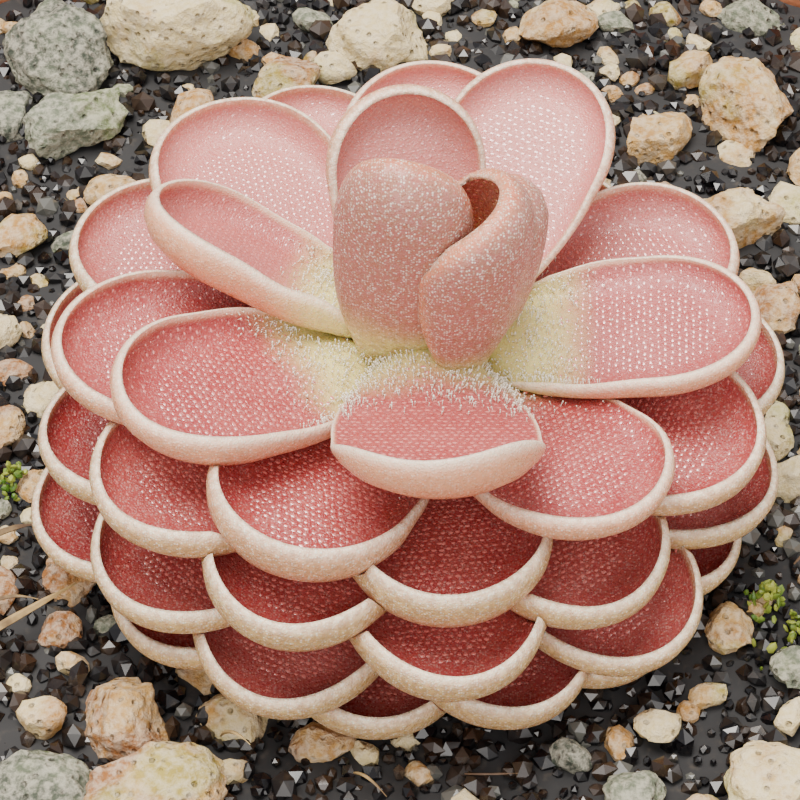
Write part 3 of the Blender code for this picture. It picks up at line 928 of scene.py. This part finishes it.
        tied = np.array(faces)[None] + (np.arange(len(feet)) * len(shape))[:, None, None]
        mesh = bpy.data.meshes.new("gland_hairs")
        mesh.from_pydata(points.reshape(-1, 3).tolist(), [], tied.reshape(-1, 3).tolist())
        piece = bpy.data.objects.new("gland_hairs", mesh)
        bpy.context.scene.collection.objects.link(piece)
        select_only(piece)
        bpy.ops.object.mode_set(mode="EDIT")
        bpy.ops.mesh.select_all(action="SELECT")
        bpy.ops.mesh.normals_make_consistent(inside=False)
        bpy.ops.object.mode_set(mode="OBJECT")
        bpy.ops.object.shade_smooth()
        return piece

    def clear_of_leaves(self, places: Array, normals: Array) -> Array:
        """Find the drops with room above them.

        Args:
            places: The drops' feet on their leaf.
            normals: Their directions away from it.

        Returns:
            True for each drop that no other leaf comes close to.
        """
        clear = np.ones(len(places), dtype=bool)
        for tree, low, high, _ in self.trees:
            near = np.all((places > low - 0.001) & (places < high + 0.001), axis=1)
            for index in np.nonzero(near & clear)[0]:
                direction = Vector(normals[index])
                start = Vector(places[index]) + direction * 0.00006
                if tree.ray_cast(start, direction, 0.0005)[0] is not None:
                    clear[index] = False
        return clear


def scatter_drops(centres: Array, normals: Array, across: Array, sizes: Array,
                  name: str) -> bpy.types.Object:
    """Copy one flattened drop to many places, each wider across its leaf than along it.

    Args:
        centres: Where each drop sits on its leaf.
        normals: Each drop's direction away from the leaf.
        across: Each drop's direction across its leaf.
        sizes: Each drop's radius.
        name: The piece's name.

    Returns:
        All the drops, as one object.
    """
    deselect_all()
    bpy.ops.mesh.primitive_cone_add(vertices=6, radius1=1.0, depth=0.75, end_fill_type="TRIFAN")
    drop = bpy.context.object
    shape = read_points(drop.data) * np.array((1.45, 0.95, 0.75)) + np.array((0.0, 0.0, 0.14))
    faces = np.array([tuple(polygon.vertices) for polygon in drop.data.polygons])
    across = across - normals * np.sum(across * normals, axis=1, keepdims=True)
    across /= np.linalg.norm(across, axis=1, keepdims=True) + 1e-9
    along = np.cross(normals, across)
    axes = np.stack((across, along, normals), axis=1)
    places = centres[:, None, :] + np.einsum("ki,nij->nkj", shape, axes) * sizes[:, None, None]
    count = len(shape)
    tied = faces[None] + (np.arange(len(centres)) * count)[:, None, None]
    mesh = bpy.data.meshes.new(name)
    mesh.from_pydata(places.reshape(-1, 3).tolist(), [], tied.reshape(-1, 3).tolist())
    bpy.data.objects.remove(drop, do_unlink=True)
    piece = bpy.data.objects.new(name, mesh)
    bpy.context.scene.collection.objects.link(piece)
    select_only(piece)
    bpy.ops.object.shade_smooth_by_angle(angle=math.radians(75))
    return piece


def turn_outline(name: str, outline: Sequence[tuple[float, float]], segments: int,
                 closed: bool) -> bpy.types.Object:
    """Turn an outline about the upright axis, ring by ring.

    Args:
        name: The piece's name.
        outline: Points of radius and height, from ring to ring.
        segments: How many corners a ring has.
        closed: Whether the last ring joins the first; otherwise the first ring is filled.

    Returns:
        The turned piece.
    """
    deselect_all()
    near_r, near_z = outline[0]
    bpy.ops.mesh.primitive_circle_add(
        vertices=segments, radius=near_r, fill_type="NOTHING" if closed else "NGON",
        location=(0, 0, near_z),
    )
    piece = bpy.context.object
    piece.name = piece.data.name = name
    bpy.ops.object.transform_apply(location=True)
    bpy.ops.object.mode_set(mode="EDIT")
    bpy.ops.mesh.select_all(action="SELECT")
    for radius, height in outline[1:]:
        rise = {"value": (0, 0, height - near_z)}
        bpy.ops.mesh.extrude_region_move(TRANSFORM_OT_translate=rise)
        factor = radius / near_r
        bpy.ops.transform.resize(value=(factor, factor, 1), center_override=(0, 0, height))
        near_r, near_z = radius, height
    if closed:
        bpy.ops.mesh.select_all(action="DESELECT")
        bpy.ops.mesh.select_non_manifold(extend=False)
        bpy.ops.mesh.bridge_edge_loops()
    bpy.ops.mesh.select_all(action="SELECT")
    bpy.ops.mesh.remove_doubles(threshold=2e-5)
    bpy.ops.mesh.normals_make_consistent(inside=False)
    bpy.ops.object.mode_set(mode="OBJECT")
    bpy.ops.object.shade_smooth_by_angle(angle=math.radians(40))
    return piece


@dataclass
class Pot:
    """The plain round clay pot with its collar and drain hole."""

    height: float = 0.072
    rim_radius: float = 0.0515
    foot_radius: float = 0.036
    wall: float = 0.0040
    floor: float = 0.006
    collar_height: float = 0.016
    collar_step: float = 0.0022
    collar_taper: float = 0.0018
    drain_radius: float = 0.007
    segments: int = 128

    def inner_radius(self, z: float) -> float:
        """The radius of the pot's inside at a height."""
        top = self.rim_radius - self.collar_step - self.wall
        bottom = self.foot_radius - self.wall
        return bottom + (top - bottom) * (z - self.floor) / (self.height - self.floor)

    def build(self) -> None:
        """Build and dress the pot."""
        outline = self.outline()
        pot = turn_outline("clay_pot", outline, self.segments, closed=True)
        points = read_points(pot.data)
        radius = np.hypot(points[:, 0], points[:, 1])
        bearing = np.arctan2(points[:, 1], points[:, 0])
        marks = 0.00007 * np.sin(points[:, 2] * 2600) + 0.00010 * np.sin(points[:, 2] * 900 + bearing)
        outside = radius > np.array([self.inner_radius(z) for z in points[:, 2]]) + self.wall / 2
        sides = outside & (points[:, 2] > 0.003) & (points[:, 2] < self.height - 0.004)
        factor = 1 - np.where(sides, np.abs(marks), 0.0) / np.maximum(radius, 1e-4)
        points[:, :2] *= factor[:, None]
        write_points(pot.data, points)
        settle(pot, ClayFinish().make(), "pot")

    def outline(self) -> list[tuple[float, float]]:
        """The wall's closed section, from the drain hole round the outside and back."""
        low = self.height - self.collar_height
        collar = self.rim_radius - self.collar_taper
        edge, rim_edge, foot_edge, lip = 0.0008, 0.0016, 0.0012, 0.0006
        at_collar = self.inner_radius(low) + self.wall
        points = arc((self.drain_radius + lip, self.floor - lip), lip, 90, 180, 3)
        points += arc((self.drain_radius + lip, lip), lip, 180, 270, 3)
        points += arc((self.foot_radius - foot_edge, foot_edge), foot_edge, -90, 0, 4)
        foot, neck = (self.foot_radius, foot_edge), (at_collar, low - edge * 1.5)
        points += between(foot, neck, 36)
        points += [neck] + arc((collar - edge, low), edge, -60, 0, 3)
        points += between((collar, low), (self.rim_radius, self.height - rim_edge), 8)
        top = self.height - rim_edge
        inner = self.inner_radius(self.height) + rim_edge
        points += arc((self.rim_radius - rim_edge, top), rim_edge, 0, 90, 6)
        points += arc((inner, top), rim_edge, 90, 180, 6)
        points += between((inner - rim_edge, top), (self.inner_radius(self.floor), self.floor), 8)
        return points + [(self.inner_radius(self.floor), self.floor)]


def arc(centre: tuple[float, float], radius: float, first: float, last: float,
        steps: int) -> list[tuple[float, float]]:
    """Points of an arc, from the first to the last bearing in degrees."""
    bearings = [math.radians(first + (last - first) * i / steps) for i in range(steps + 1)]
    return [(centre[0] + radius * math.cos(b), centre[1] + radius * math.sin(b)) for b in bearings]


def between(first: tuple[float, float], last: tuple[float, float],
            steps: int) -> list[tuple[float, float]]:
    """Points that divide the straight way between two points, without its ends."""
    parts = [i / steps for i in range(1, steps)]
    return [(first[0] + (last[0] - first[0]) * t, first[1] + (last[1] - first[1]) * t) for t in parts]


class Kind(Enum):
    """Kinds of stone in the grit."""

    CREAM = "cream_stones"
    OCHRE = "ochre_stones"
    SLATE = "slate_stones"


@dataclass
class Stone:
    """One stone: its middle and width in millimetres in plan, and what it is made of."""

    x: float
    y: float
    width: float
    kind: Kind
    rise: float = 0.35
    stretch: float = 0.85
    turn: float = 0.0


def large_stones() -> list[Stone]:
    """The large stones round the plant, each put in its own place."""
    cream, ochre, slate = Kind.CREAM, Kind.OCHRE, Kind.SLATE
    return [
        Stone(-11.7, -25.7, 6.8, ochre, 0.50, 0.75, 0.3), Stone(-13.7, -20.3, 5.2, ochre, 0.45, 0.85, 2.4),
        Stone(-17.7, -20.5, 2.5, cream, 0.6, 0.8), Stone(-18.2, -25.8, 7.6, slate, 0.30, 0.8, 0.2),
        Stone(-16.5, -17.0, 1.7, cream, 0.6, 0.8), Stone(18.6, -24.2, 5.4, cream, 0.5, 0.8, 0.9),
        Stone(12.8, -21.2, 2.3, cream, 0.7, 0.8, 0.5), Stone(8.5, -22.7, 2.1, slate, 0.6, 0.9),
        Stone(11.4, -24.8, 3.2, slate, 0.5, 0.8, 1.3), Stone(15.0, -26.4, 3.2, ochre, 0.5, 0.7, 0.2),
        Stone(16.8, -14.9, 2.9, ochre, 0.5, 0.8, 1.8), Stone(20.3, -17.4, 3.0, slate, 0.5, 0.8, 0.4),
        Stone(15.5, -19.0, 1.9, ochre, 0.5, 0.9, 0.4), Stone(19.5, -20.4, 2.0, cream, 0.6, 0.8, 1.1),
        Stone(19.2, 14.6, 6.0, cream, 0.5, 0.6, 0.2), Stone(21.5, 8, 3.6, ochre, 0.5, 0.8, 1.2),
        Stone(-19.5, 23.4, 5.8, slate, 0.5, 0.8, 0.5), Stone(-21, 30, 7.2, slate, 0.5, 0.8, 2.0),
        Stone(-14, 31.5, 8.2, cream, 0.6, 0.6, 0.1), Stone(21, 25, 6.0, cream, 0.55, 0.8, 1.9),
        Stone(10, 33, 4.8, cream, 0.5, 0.7, 0.3), Stone(15.5, 22.5, 4.2, ochre, 0.5, 0.8, 0.9),
        Stone(-23, 6, 3.2, cream, 0.5, 0.8, 0.4), Stone(-21.5, -1, 2.6, ochre, 0.5, 0.8, 1.4),
        Stone(-1, 32, 6.0, cream, 0.5, 0.8, 0.2), Stone(-7, 27.5, 4.4, ochre, 0.5, 0.8, 1.2),
        Stone(4, 26.5, 4.2, cream, 0.4, 0.7, 0.6), Stone(-12.5, 25, 3.8, cream, 0.5, 0.8, 1.5),
        Stone(-10.5, -31, 3.4, cream, 0.5, 0.9, 0.8), Stone(9.5, 22, 3.4, cream, 0.5, 0.8, 2.2),
        Stone(-22, 14, 3.6, cream, 0.5, 0.8, 0.8), Stone(-17, 17.5, 3.0, ochre, 0.6, 0.8, 0.1),
        Stone(25, 20, 3.6, ochre, 0.6, 0.8, 0.6), Stone(26, 26, 3.8, cream, 0.5, 0.7, 2.0),
    ]


@dataclass
class Fibre:
    """One dry fibre: its ends, its middle and its radius in millimetres, heights above the soil."""

    first: tuple[float, float, float]
    middle: tuple[float, float, float]
    last: tuple[float, float, float]
    radius: float = 0.10

    def bent(self, share: Array) -> Array:
        """Places along the fibre, in millimetres."""
        ends = np.outer((1 - share) ** 2, self.first) + np.outer(share ** 2, self.last)
        return ends + np.outer(2 * share * (1 - share), self.middle)


def fibres() -> list[Fibre]:
    """Straw at the left of the plant, and two dead stalks in front of it."""
    return [
        Fibre((-23.0, -17.2, 0.5), (-19.5, -15.6, 1.9), (-16.6, -12.6, 1.0), 0.24),
        Fibre((-23.5, -11.0, 0.4), (-21.0, -9.3, 1.7), (-18.9, -8.8, 1.2), 0.20),
        Fibre((-21.5, -14.0, 0.6), (-20.2, -13.0, 1.0), (-18.5, -13.4, 0.7), 0.10),
        Fibre((-8.8, -21.6, 0.2), (-8.2, -22.6, 2.6), (-7.2, -23.4, 2.0), 0.10),
        Fibre((-2.2, -23.8, 0.2), (-1.6, -24.9, 1.9), (-0.6, -25.6, 0.8), 0.08),
        Fibre((3.2, -24.0, 0.4), (4.4, -24.6, 1.2), (5.8, -24.1, 0.6), 0.06),
        Fibre((20.5, -11.0, 0.6), (22.0, -9.5, 1.4), (23.5, -9.9, 0.8), 0.08),
    ]


@dataclass
class Soil:
    """Mineral grit: a bed, stones standing out of it, dark sand between them, and fine debris."""

    level: float = SOIL_LEVEL
    rim_radius: float = 0.0440
    floor_radius: float = 0.0316
    floor_z: float = 0.0063
    bed_faces: int = 130
    bed_sink: float = 0.0004
    small_stones: int = 560
    grain_step: float = 0.00084
    grain_radii: tuple[float, float] = (0.00026, 0.00080)
    bare_radius: float = 0.0085
    stones: list[Stone] = field(default_factory=large_stones)

    def build(self) -> None:
        """Build and dress the soil."""
        self.stones += self.more_stones()
        grains = GrainFinish().make()
        settle(self.make_bed(), grains, "soil")
        chips = {
            Kind.CREAM: ChipFinish(),
            Kind.OCHRE: ChipFinish("ochre_chip", (0.50, 0.30, 0.10), (0.28, 0.11, 0.03)),
            Kind.SLATE: ChipFinish("slate_chip", (0.13, 0.15, 0.10), (0.045, 0.055, 0.040),
                                   (0.14, 0.18, 0.05), (0.015, 0.015, 0.012)),
        }
        for kind, chip in chips.items():
            settle(self.make_stones(kind), chip.make())
        settle(self.make_grains(), grains)
        settle(self.make_fibres(), FibreFinish().make())
        settle(self.make_moss(), MossFinish().make())

    def more_stones(self) -> list[Stone]:
        """Scatter smaller stones wherever there is room between the large ones.

        Returns:
            The smaller stones.
        """
        draw = random.Random(23)
        kinds = [Kind.CREAM] * 7 + [Kind.OCHRE] * 4 + [Kind.SLATE] * 2
        added: list[Stone] = []
        for _ in range(14000):
            if len(added) == self.small_stones:
                break
            width = 1.2 + 3.4 * draw.random() ** 2.0
            away = (self.rim_radius * 1000 - width * 0.55) * math.sqrt(draw.random())
            bearing = draw.uniform(0, 2 * math.pi)
            x, y = away * math.cos(bearing), away * math.sin(bearing)
            in_front = math.hypot(x, y - PLANT_Y * 1000) < 26 and y < -8
            if math.hypot(x, y - PLANT_Y * 1000) < 13 or (in_front and draw.random() < 0.55):
                continue
            if all(math.hypot(x - o.x, y - o.y) > 0.41 * (width + o.width) for o in self.stones + added):
                added.append(Stone(x, y, width, draw.choice(kinds), draw.uniform(0.15, 0.6),
                                   draw.uniform(0.65, 1.0), draw.uniform(0, math.pi)))
        return added

    def make_bed(self) -> bpy.types.Object:
        """Shape the bed: a rough disc on top, a wall and a floor."""
        deselect_all()
        bpy.ops.mesh.primitive_grid_add(x_subdivisions=self.bed_faces, y_subdivisions=self.bed_faces, size=2)
        bed = bpy.context.object
        bed.name = bed.data.name = "grit_bed"
        bpy.ops.object.mode_set(mode="EDIT")
        bpy.ops.mesh.select_all(action="DESELECT")
        bpy.ops.mesh.select_non_manifold(extend=False)
        bpy.ops.mesh.extrude_region_move(TRANSFORM_OT_translate={"value": (0, 0, -1)})
        bpy.ops.mesh.edge_face_add()
        bpy.ops.object.mode_set(mode="OBJECT")
        grid = read_points(bed.data)
        u, v, low = grid[:, 0], grid[:, 1], grid[:, 2] < -0.5
        x, y = u * np.sqrt(1 - v * v / 2), v * np.sqrt(1 - u * u / 2)
        radius = np.where(low, self.floor_radius, self.rim_radius)
        points = np.stack((x * radius, y * radius, np.where(low, self.floor_z, self.level)), axis=-1)
        for index in np.nonzero(~low)[0]:
            place = Vector(points[index])
            lumps = 0.5 * noise(place / 0.004) + 0.35 * noise(place / 0.0013)
            points[index, 2] += 0.0006 * lumps - self.bed_sink
        write_points(bed.data, points)
        write_trait(bed.data, "grit_tone", np.tile((0.2, 2.0, 0.0), (len(points), 1)))
        select_only(bed)
        bpy.ops.object.mode_set(mode="EDIT")
        bpy.ops.mesh.select_all(action="SELECT")
        bpy.ops.mesh.normals_make_consistent(inside=False)
        bpy.ops.object.mode_set(mode="OBJECT")
        bpy.ops.object.shade_smooth_by_angle(angle=math.radians(50))
        return bed

    def ball(self, splits: int) -> tuple[Array, Array]:
        """A round ball's corners and triangles, as the start of a stone or a grain."""
        deselect_all()
        bpy.ops.mesh.primitive_ico_sphere_add(subdivisions=splits, radius=1.0)
        ball = bpy.context.object
        corners = read_points(ball.data)
        faces = np.array([tuple(polygon.vertices) for polygon in ball.data.polygons])
        bpy.data.objects.remove(ball, do_unlink=True)
        return corners, faces

    def hew(self, corners: Array, draw: Any, cuts: int, roughness: float) -> Array:
        """Cut flats on a ball and roughen it, which makes a broken stone of it.

        Args:
            corners: The ball's corners.
            draw: The generator of random numbers.
            cuts: How many flats the stone gets.
            roughness: How far its lumps stand out, in parts of its radius.

        Returns:
            The stone's corners, about one unit in radius.
        """
        shape = corners.copy()
        for _ in range(cuts):
            direction = draw.normal(size=3)
            direction /= np.linalg.norm(direction)
            over = np.maximum(shape @ direction - draw.uniform(0.62, 0.9), 0.0)
            shape -= over[:, None] * direction * 0.94
        if roughness:
            offset = Vector(draw.uniform(0, 50, 3))
            for index, corner in enumerate(shape):
                place = Vector(corner)
                lumps = noise(place * 2.1 + offset) + 0.45 * noise(place * 6.5 + offset)
                shape[index] *= 1 + roughness * lumps
        return shape

    def make_stones(self, kind: Kind) -> bpy.types.Object:
        """Hew all the stones of one kind.

        Args:
            kind: Which stones to make.

        Returns:
            The stones, as one object.
        """
        draw = np.random.default_rng(len(kind.value) * 7)
        balls = {3.9: self.ball(5), 2.7: self.ball(4), 1.9: self.ball(3), 0.0: self.ball(2)}
        shapes, faces, tones, count = [], [], [], 0
        for stone in (stone for stone in self.stones if stone.kind is kind):
            width = stone.width * (0.7 if stone.y > 12 or stone.y < -29 else 1.0)
            corners, triangles = next(ball for least, ball in balls.items() if width > least)
            shape = self.hew(corners, draw, int(draw.integers(7, 12)), 0.15)
            radius = stone.width / 2000
            shape *= np.array((1.0, stone.stretch, draw.uniform(0.55, 0.8))) * radius * 1.12
            tilt = Matrix.Rotation(draw.uniform(-0.3, 0.3), 3, "X") @ Matrix.Rotation(draw.uniform(-0.3, 0.3), 3, "Y")
            shape = shape @ np.array(Matrix.Rotation(stone.turn, 3, "Z") @ tilt).T
            x, y = stone.x / 1000, stone.y / 1000
            from_plant = math.hypot(x, y - PLANT_Y)
            top = self.level - self.bed_sink + radius * stone.rise * 2
            top = min(top, self.level + 0.0008 + 1.2 * max(0.0, from_plant - REACH * 0.95))
            shape += np.array((x, y, top - shape[:, 2].max()))
            reach = np.hypot(shape[:, 0], shape[:, 1])
            inside = np.minimum(1.0, (self.rim_radius - 0.0002) / reach)
            shape[:, :2] *= inside[:, None]
            shapes.append(shape)
            faces.append(triangles + count)
            tones.append(np.tile(draw.random(3), (len(shape), 1)))
            count += len(shape)
        return self.join_shapes(shapes, faces, tones, kind.value, smooth=True)

    def make_grains(self) -> bpy.types.Object:
        """Scatter dark sand over the bed, wherever no stone lies."""
        draw = np.random.default_rng(31)
        corners, triangles = self.ball(1)
        shapes, faces, tones, count = [], [], [], 0
        rows = int(self.rim_radius / self.grain_step)
        reach = self.rim_radius - self.grain_radii[1]
        for row in range(-rows, rows + 1):
            for column in range(-rows, rows + 1):
                x, y = (np.array((column + row % 2 * 0.5, row)) + draw.normal(0, 0.22, 2)) * self.grain_step
                least, most = self.grain_radii
                radius = least + (most - least) * draw.random() ** 1.6
                shape = self.hew(corners, draw, 2, 0.0) * draw.uniform(0.7, 1.2, 3) * radius
                tone, rise = draw.random(3), draw.uniform(-0.2, 0.5)
                bare = math.hypot(x, y - PLANT_Y) < self.bare_radius
                if math.hypot(x, y) > reach or bare or self.on_stone(x * 1000, y * 1000):
                    continue
                turn = Matrix.Rotation(draw.uniform(0, 6), 3, "X") @ Matrix.Rotation(draw.uniform(0, 6), 3, "Z")
                shape = shape @ np.array(turn).T
                shapes.append(shape + np.array((x, y, self.level - self.bed_sink + radius * rise)))
                faces.append(triangles + count)
                tones.append(np.tile(tone, (len(shape), 1)))
                count += len(shape)
        return self.join_shapes(shapes, faces, tones, "sand_grains", smooth=False)

    def make_fibres(self) -> bpy.types.Object:
        """Lay the dry fibres on the grit: thin bent rods, thinner to their ends."""
        shapes, faces, tones, count = [], [], [], 0
        share = np.linspace(0, 1, 9)
        sides = np.linspace(0, 2 * math.pi, 5, endpoint=False)
        draw = np.random.default_rng(57)
        for fibre in fibres():
            line = fibre.bent(share) / 1000 + np.array((0.0, 0.0, self.level))
            ahead = np.gradient(line, axis=0)
            ahead /= np.linalg.norm(ahead, axis=1, keepdims=True)
            aside = np.cross(ahead, (0.1, 0.2, 1.0))
            aside /= np.linalg.norm(aside, axis=1, keepdims=True)
            above = np.cross(aside, ahead)
            thick = fibre.radius / 1000 * (1 - 0.75 * np.abs(2 * share - 0.8).clip(0, 1) ** 3)
            thick *= draw.uniform(0.85, 1.15, len(share))
            ring = np.cos(sides)[None, :, None] * aside[:, None] + np.sin(sides)[None, :, None] * above[:, None]
            shapes.append((line[:, None] + ring * thick[:, None, None]).reshape(-1, 3))
            walls = [(r * 5 + i, r * 5 + (i + 1) % 5, (r + 1) * 5 + (i + 1) % 5, (r + 1) * 5 + i)
                     for r in range(len(share) - 1) for i in range(5)]
            last = 5 * len(share) - 5
            ends = [(2, 1, 0), (3, 2, 0), (4, 3, 0)]
            ends += [(last, last + i, last + i + 1) for i in (1, 2, 3)]
            tied = np.array([(a, b, c) for a, b, c, d in walls] + [(a, c, d) for a, b, c, d in walls] + ends)
            faces.append(tied + count)
            tones.append(np.tile(draw.random(3), (len(shapes[-1]), 1)))
            count += len(shapes[-1])
        return self.join_shapes(shapes, faces, tones, "dry_fibres", smooth=True)

    def make_moss(self) -> bpy.types.Object:
        """Heap small green lobes into two tufts of moss at the right of the plant."""
        draw = np.random.default_rng(63)
        corners, triangles = self.ball(1)
        shapes, faces, tones, count = [], [], [], 0
        for x, y, spread, lobes in ((20.9, -15.6, 0.8, 90), (19.0, -13.2, 0.5, 40), (-20.5, -5.0, 0.5, 30)):
            for _ in range(lobes):
                aside = draw.normal(0, spread, 2)
                rise = 1.3 * math.exp(-float(aside @ aside) / (2 * spread ** 2)) + draw.uniform(-0.2, 0.4)
                shape = corners * draw.uniform(0.10, 0.26, 3) * np.array((1.0, 1.0, 1.5))
                tilt = Matrix.Rotation(draw.uniform(-0.8, 0.8), 3, "X") @ Matrix.Rotation(draw.uniform(-0.8, 0.8), 3, "Y")
                place = np.array((x + aside[0], y + aside[1], rise))
                shapes.append((shape @ np.array(tilt).T + place) / 1000 + np.array((0.0, 0.0, self.level)))
                faces.append(triangles + count)
                tones.append(np.tile(draw.random(3), (len(shape), 1)))
                count += len(shape)
        return self.join_shapes(shapes, faces, tones, "moss_tufts", smooth=True)

    def on_stone(self, x: float, y: float) -> bool:
        """Whether a place in millimetres lies well inside a stone."""
        return any(
            (x - stone.x) ** 2 + (y - stone.y) ** 2 < (stone.width * 0.34) ** 2 for stone in self.stones
        )

    def join_shapes(self, shapes: list[Array], faces: list[Array], tones: list[Array], name: str,
                    smooth: bool) -> bpy.types.Object:
        """Put many small solids into one object.

        Args:
            shapes: Each solid's corners.
            faces: Each solid's triangles, counted on through all of them.
            tones: Each corner's own tone, for the finish.
            name: The piece's name.
            smooth: Whether the solids are shaded smoothly between their sharp edges.

        Returns:
            The joined object.
        """
        mesh = bpy.data.meshes.new(name)
        mesh.from_pydata(np.concatenate(shapes).tolist(), [], np.concatenate(faces).tolist())
        write_trait(mesh, "grit_tone", np.concatenate(tones))
        piece = bpy.data.objects.new(name, mesh)
        bpy.context.scene.collection.objects.link(piece)
        select_only(piece)
        if smooth:
            bpy.ops.object.shade_smooth_by_angle(angle=math.radians(35))
        return piece


@dataclass
class Studio:
    """The plain floor, the soft light and the camera."""

    elevation: float = math.radians(48)
    distance: float = 7.0
    frame_pixels: float = 800.0
    scale_pixels: float = 379.0
    shift: tuple[float, float] = (1.0, 35.0)

    def build(self) -> None:
        """Set up the studio."""
        deselect_all()
        bpy.ops.mesh.primitive_plane_add(size=3)
        floor = bpy.context.object
        floor.name = "floor"
        finish = Finish("studio_floor")
        floor.data.materials.append(finish.give(Base_Color=(0.80, 0.79, 0.77), Roughness=0.8))
        self.add_camera()
        self.add_light("sky", (-0.08, 0.06, 0.44), 0.34, 5.2, (1.0, 0.955, 0.89))
        self.add_light("front", (-0.06, -0.40, 0.26), 0.45, 2.2, (1.0, 0.96, 0.91))
        self.add_light("right", (0.42, 0.02, 0.20), 0.40, 0.9, (1.0, 0.96, 0.92))
        world = bpy.data.worlds.new("studio_air")
        bpy.context.scene.world = world
        world.use_nodes = True
        world.node_tree.nodes["Background"].inputs["Color"].default_value = (0.96, 0.96, 1.0, 1)
        world.node_tree.nodes["Background"].inputs["Strength"].default_value = 0.45

    def add_camera(self) -> None:
        """Look down at the rosette from the front, close by."""
        camera = bpy.data.cameras.new("camera")
        camera.sensor_width = 36.0
        camera.lens = 36.0 * self.scale_pixels * self.distance / self.frame_pixels
        camera.shift_x = self.shift[0] / self.frame_pixels
        camera.shift_y = self.shift[1] / self.frame_pixels
        camera.clip_start = 0.005
        holder = bpy.data.objects.new("camera", camera)
        bpy.context.scene.collection.objects.link(holder)
        look = Vector((0.0, math.cos(self.elevation), -math.sin(self.elevation)))
        holder.location = PLANT_FOOT - look * self.distance * REACH
        holder.rotation_euler = look.to_track_quat("-Z", "Y").to_euler()
        bpy.context.scene.camera = holder

    def add_light(self, name: str, place: tuple[float, float, float], size: float,
                  power: float, colour: Colour) -> None:
        """Hang a soft square light that faces the plant.

        Args:
            name: The light's name.
            place: Where it hangs, from the plant's foot.
            size: The length of its side.
            power: Its power in watts.
            colour: Its colour.
        """
        light = bpy.data.lights.new(name, "AREA")
        light.shape, light.size, light.energy, light.color = "SQUARE", size, power, colour
        holder = bpy.data.objects.new(name, light)
        bpy.context.scene.collection.objects.link(holder)
        holder.location = PLANT_FOOT + Vector(place)
        holder.rotation_euler = (-Vector(place)).to_track_quat("-Z", "Y").to_euler()


def main() -> None:
    """Build the potted butterwort and its studio."""
    logging.basicConfig(level=logging.INFO, format="%(message)s")
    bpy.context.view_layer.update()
    Pot().build()
    Soil().build()
    Rosette().build()
    Studio().build()


if __name__ == "__main__":
    main()
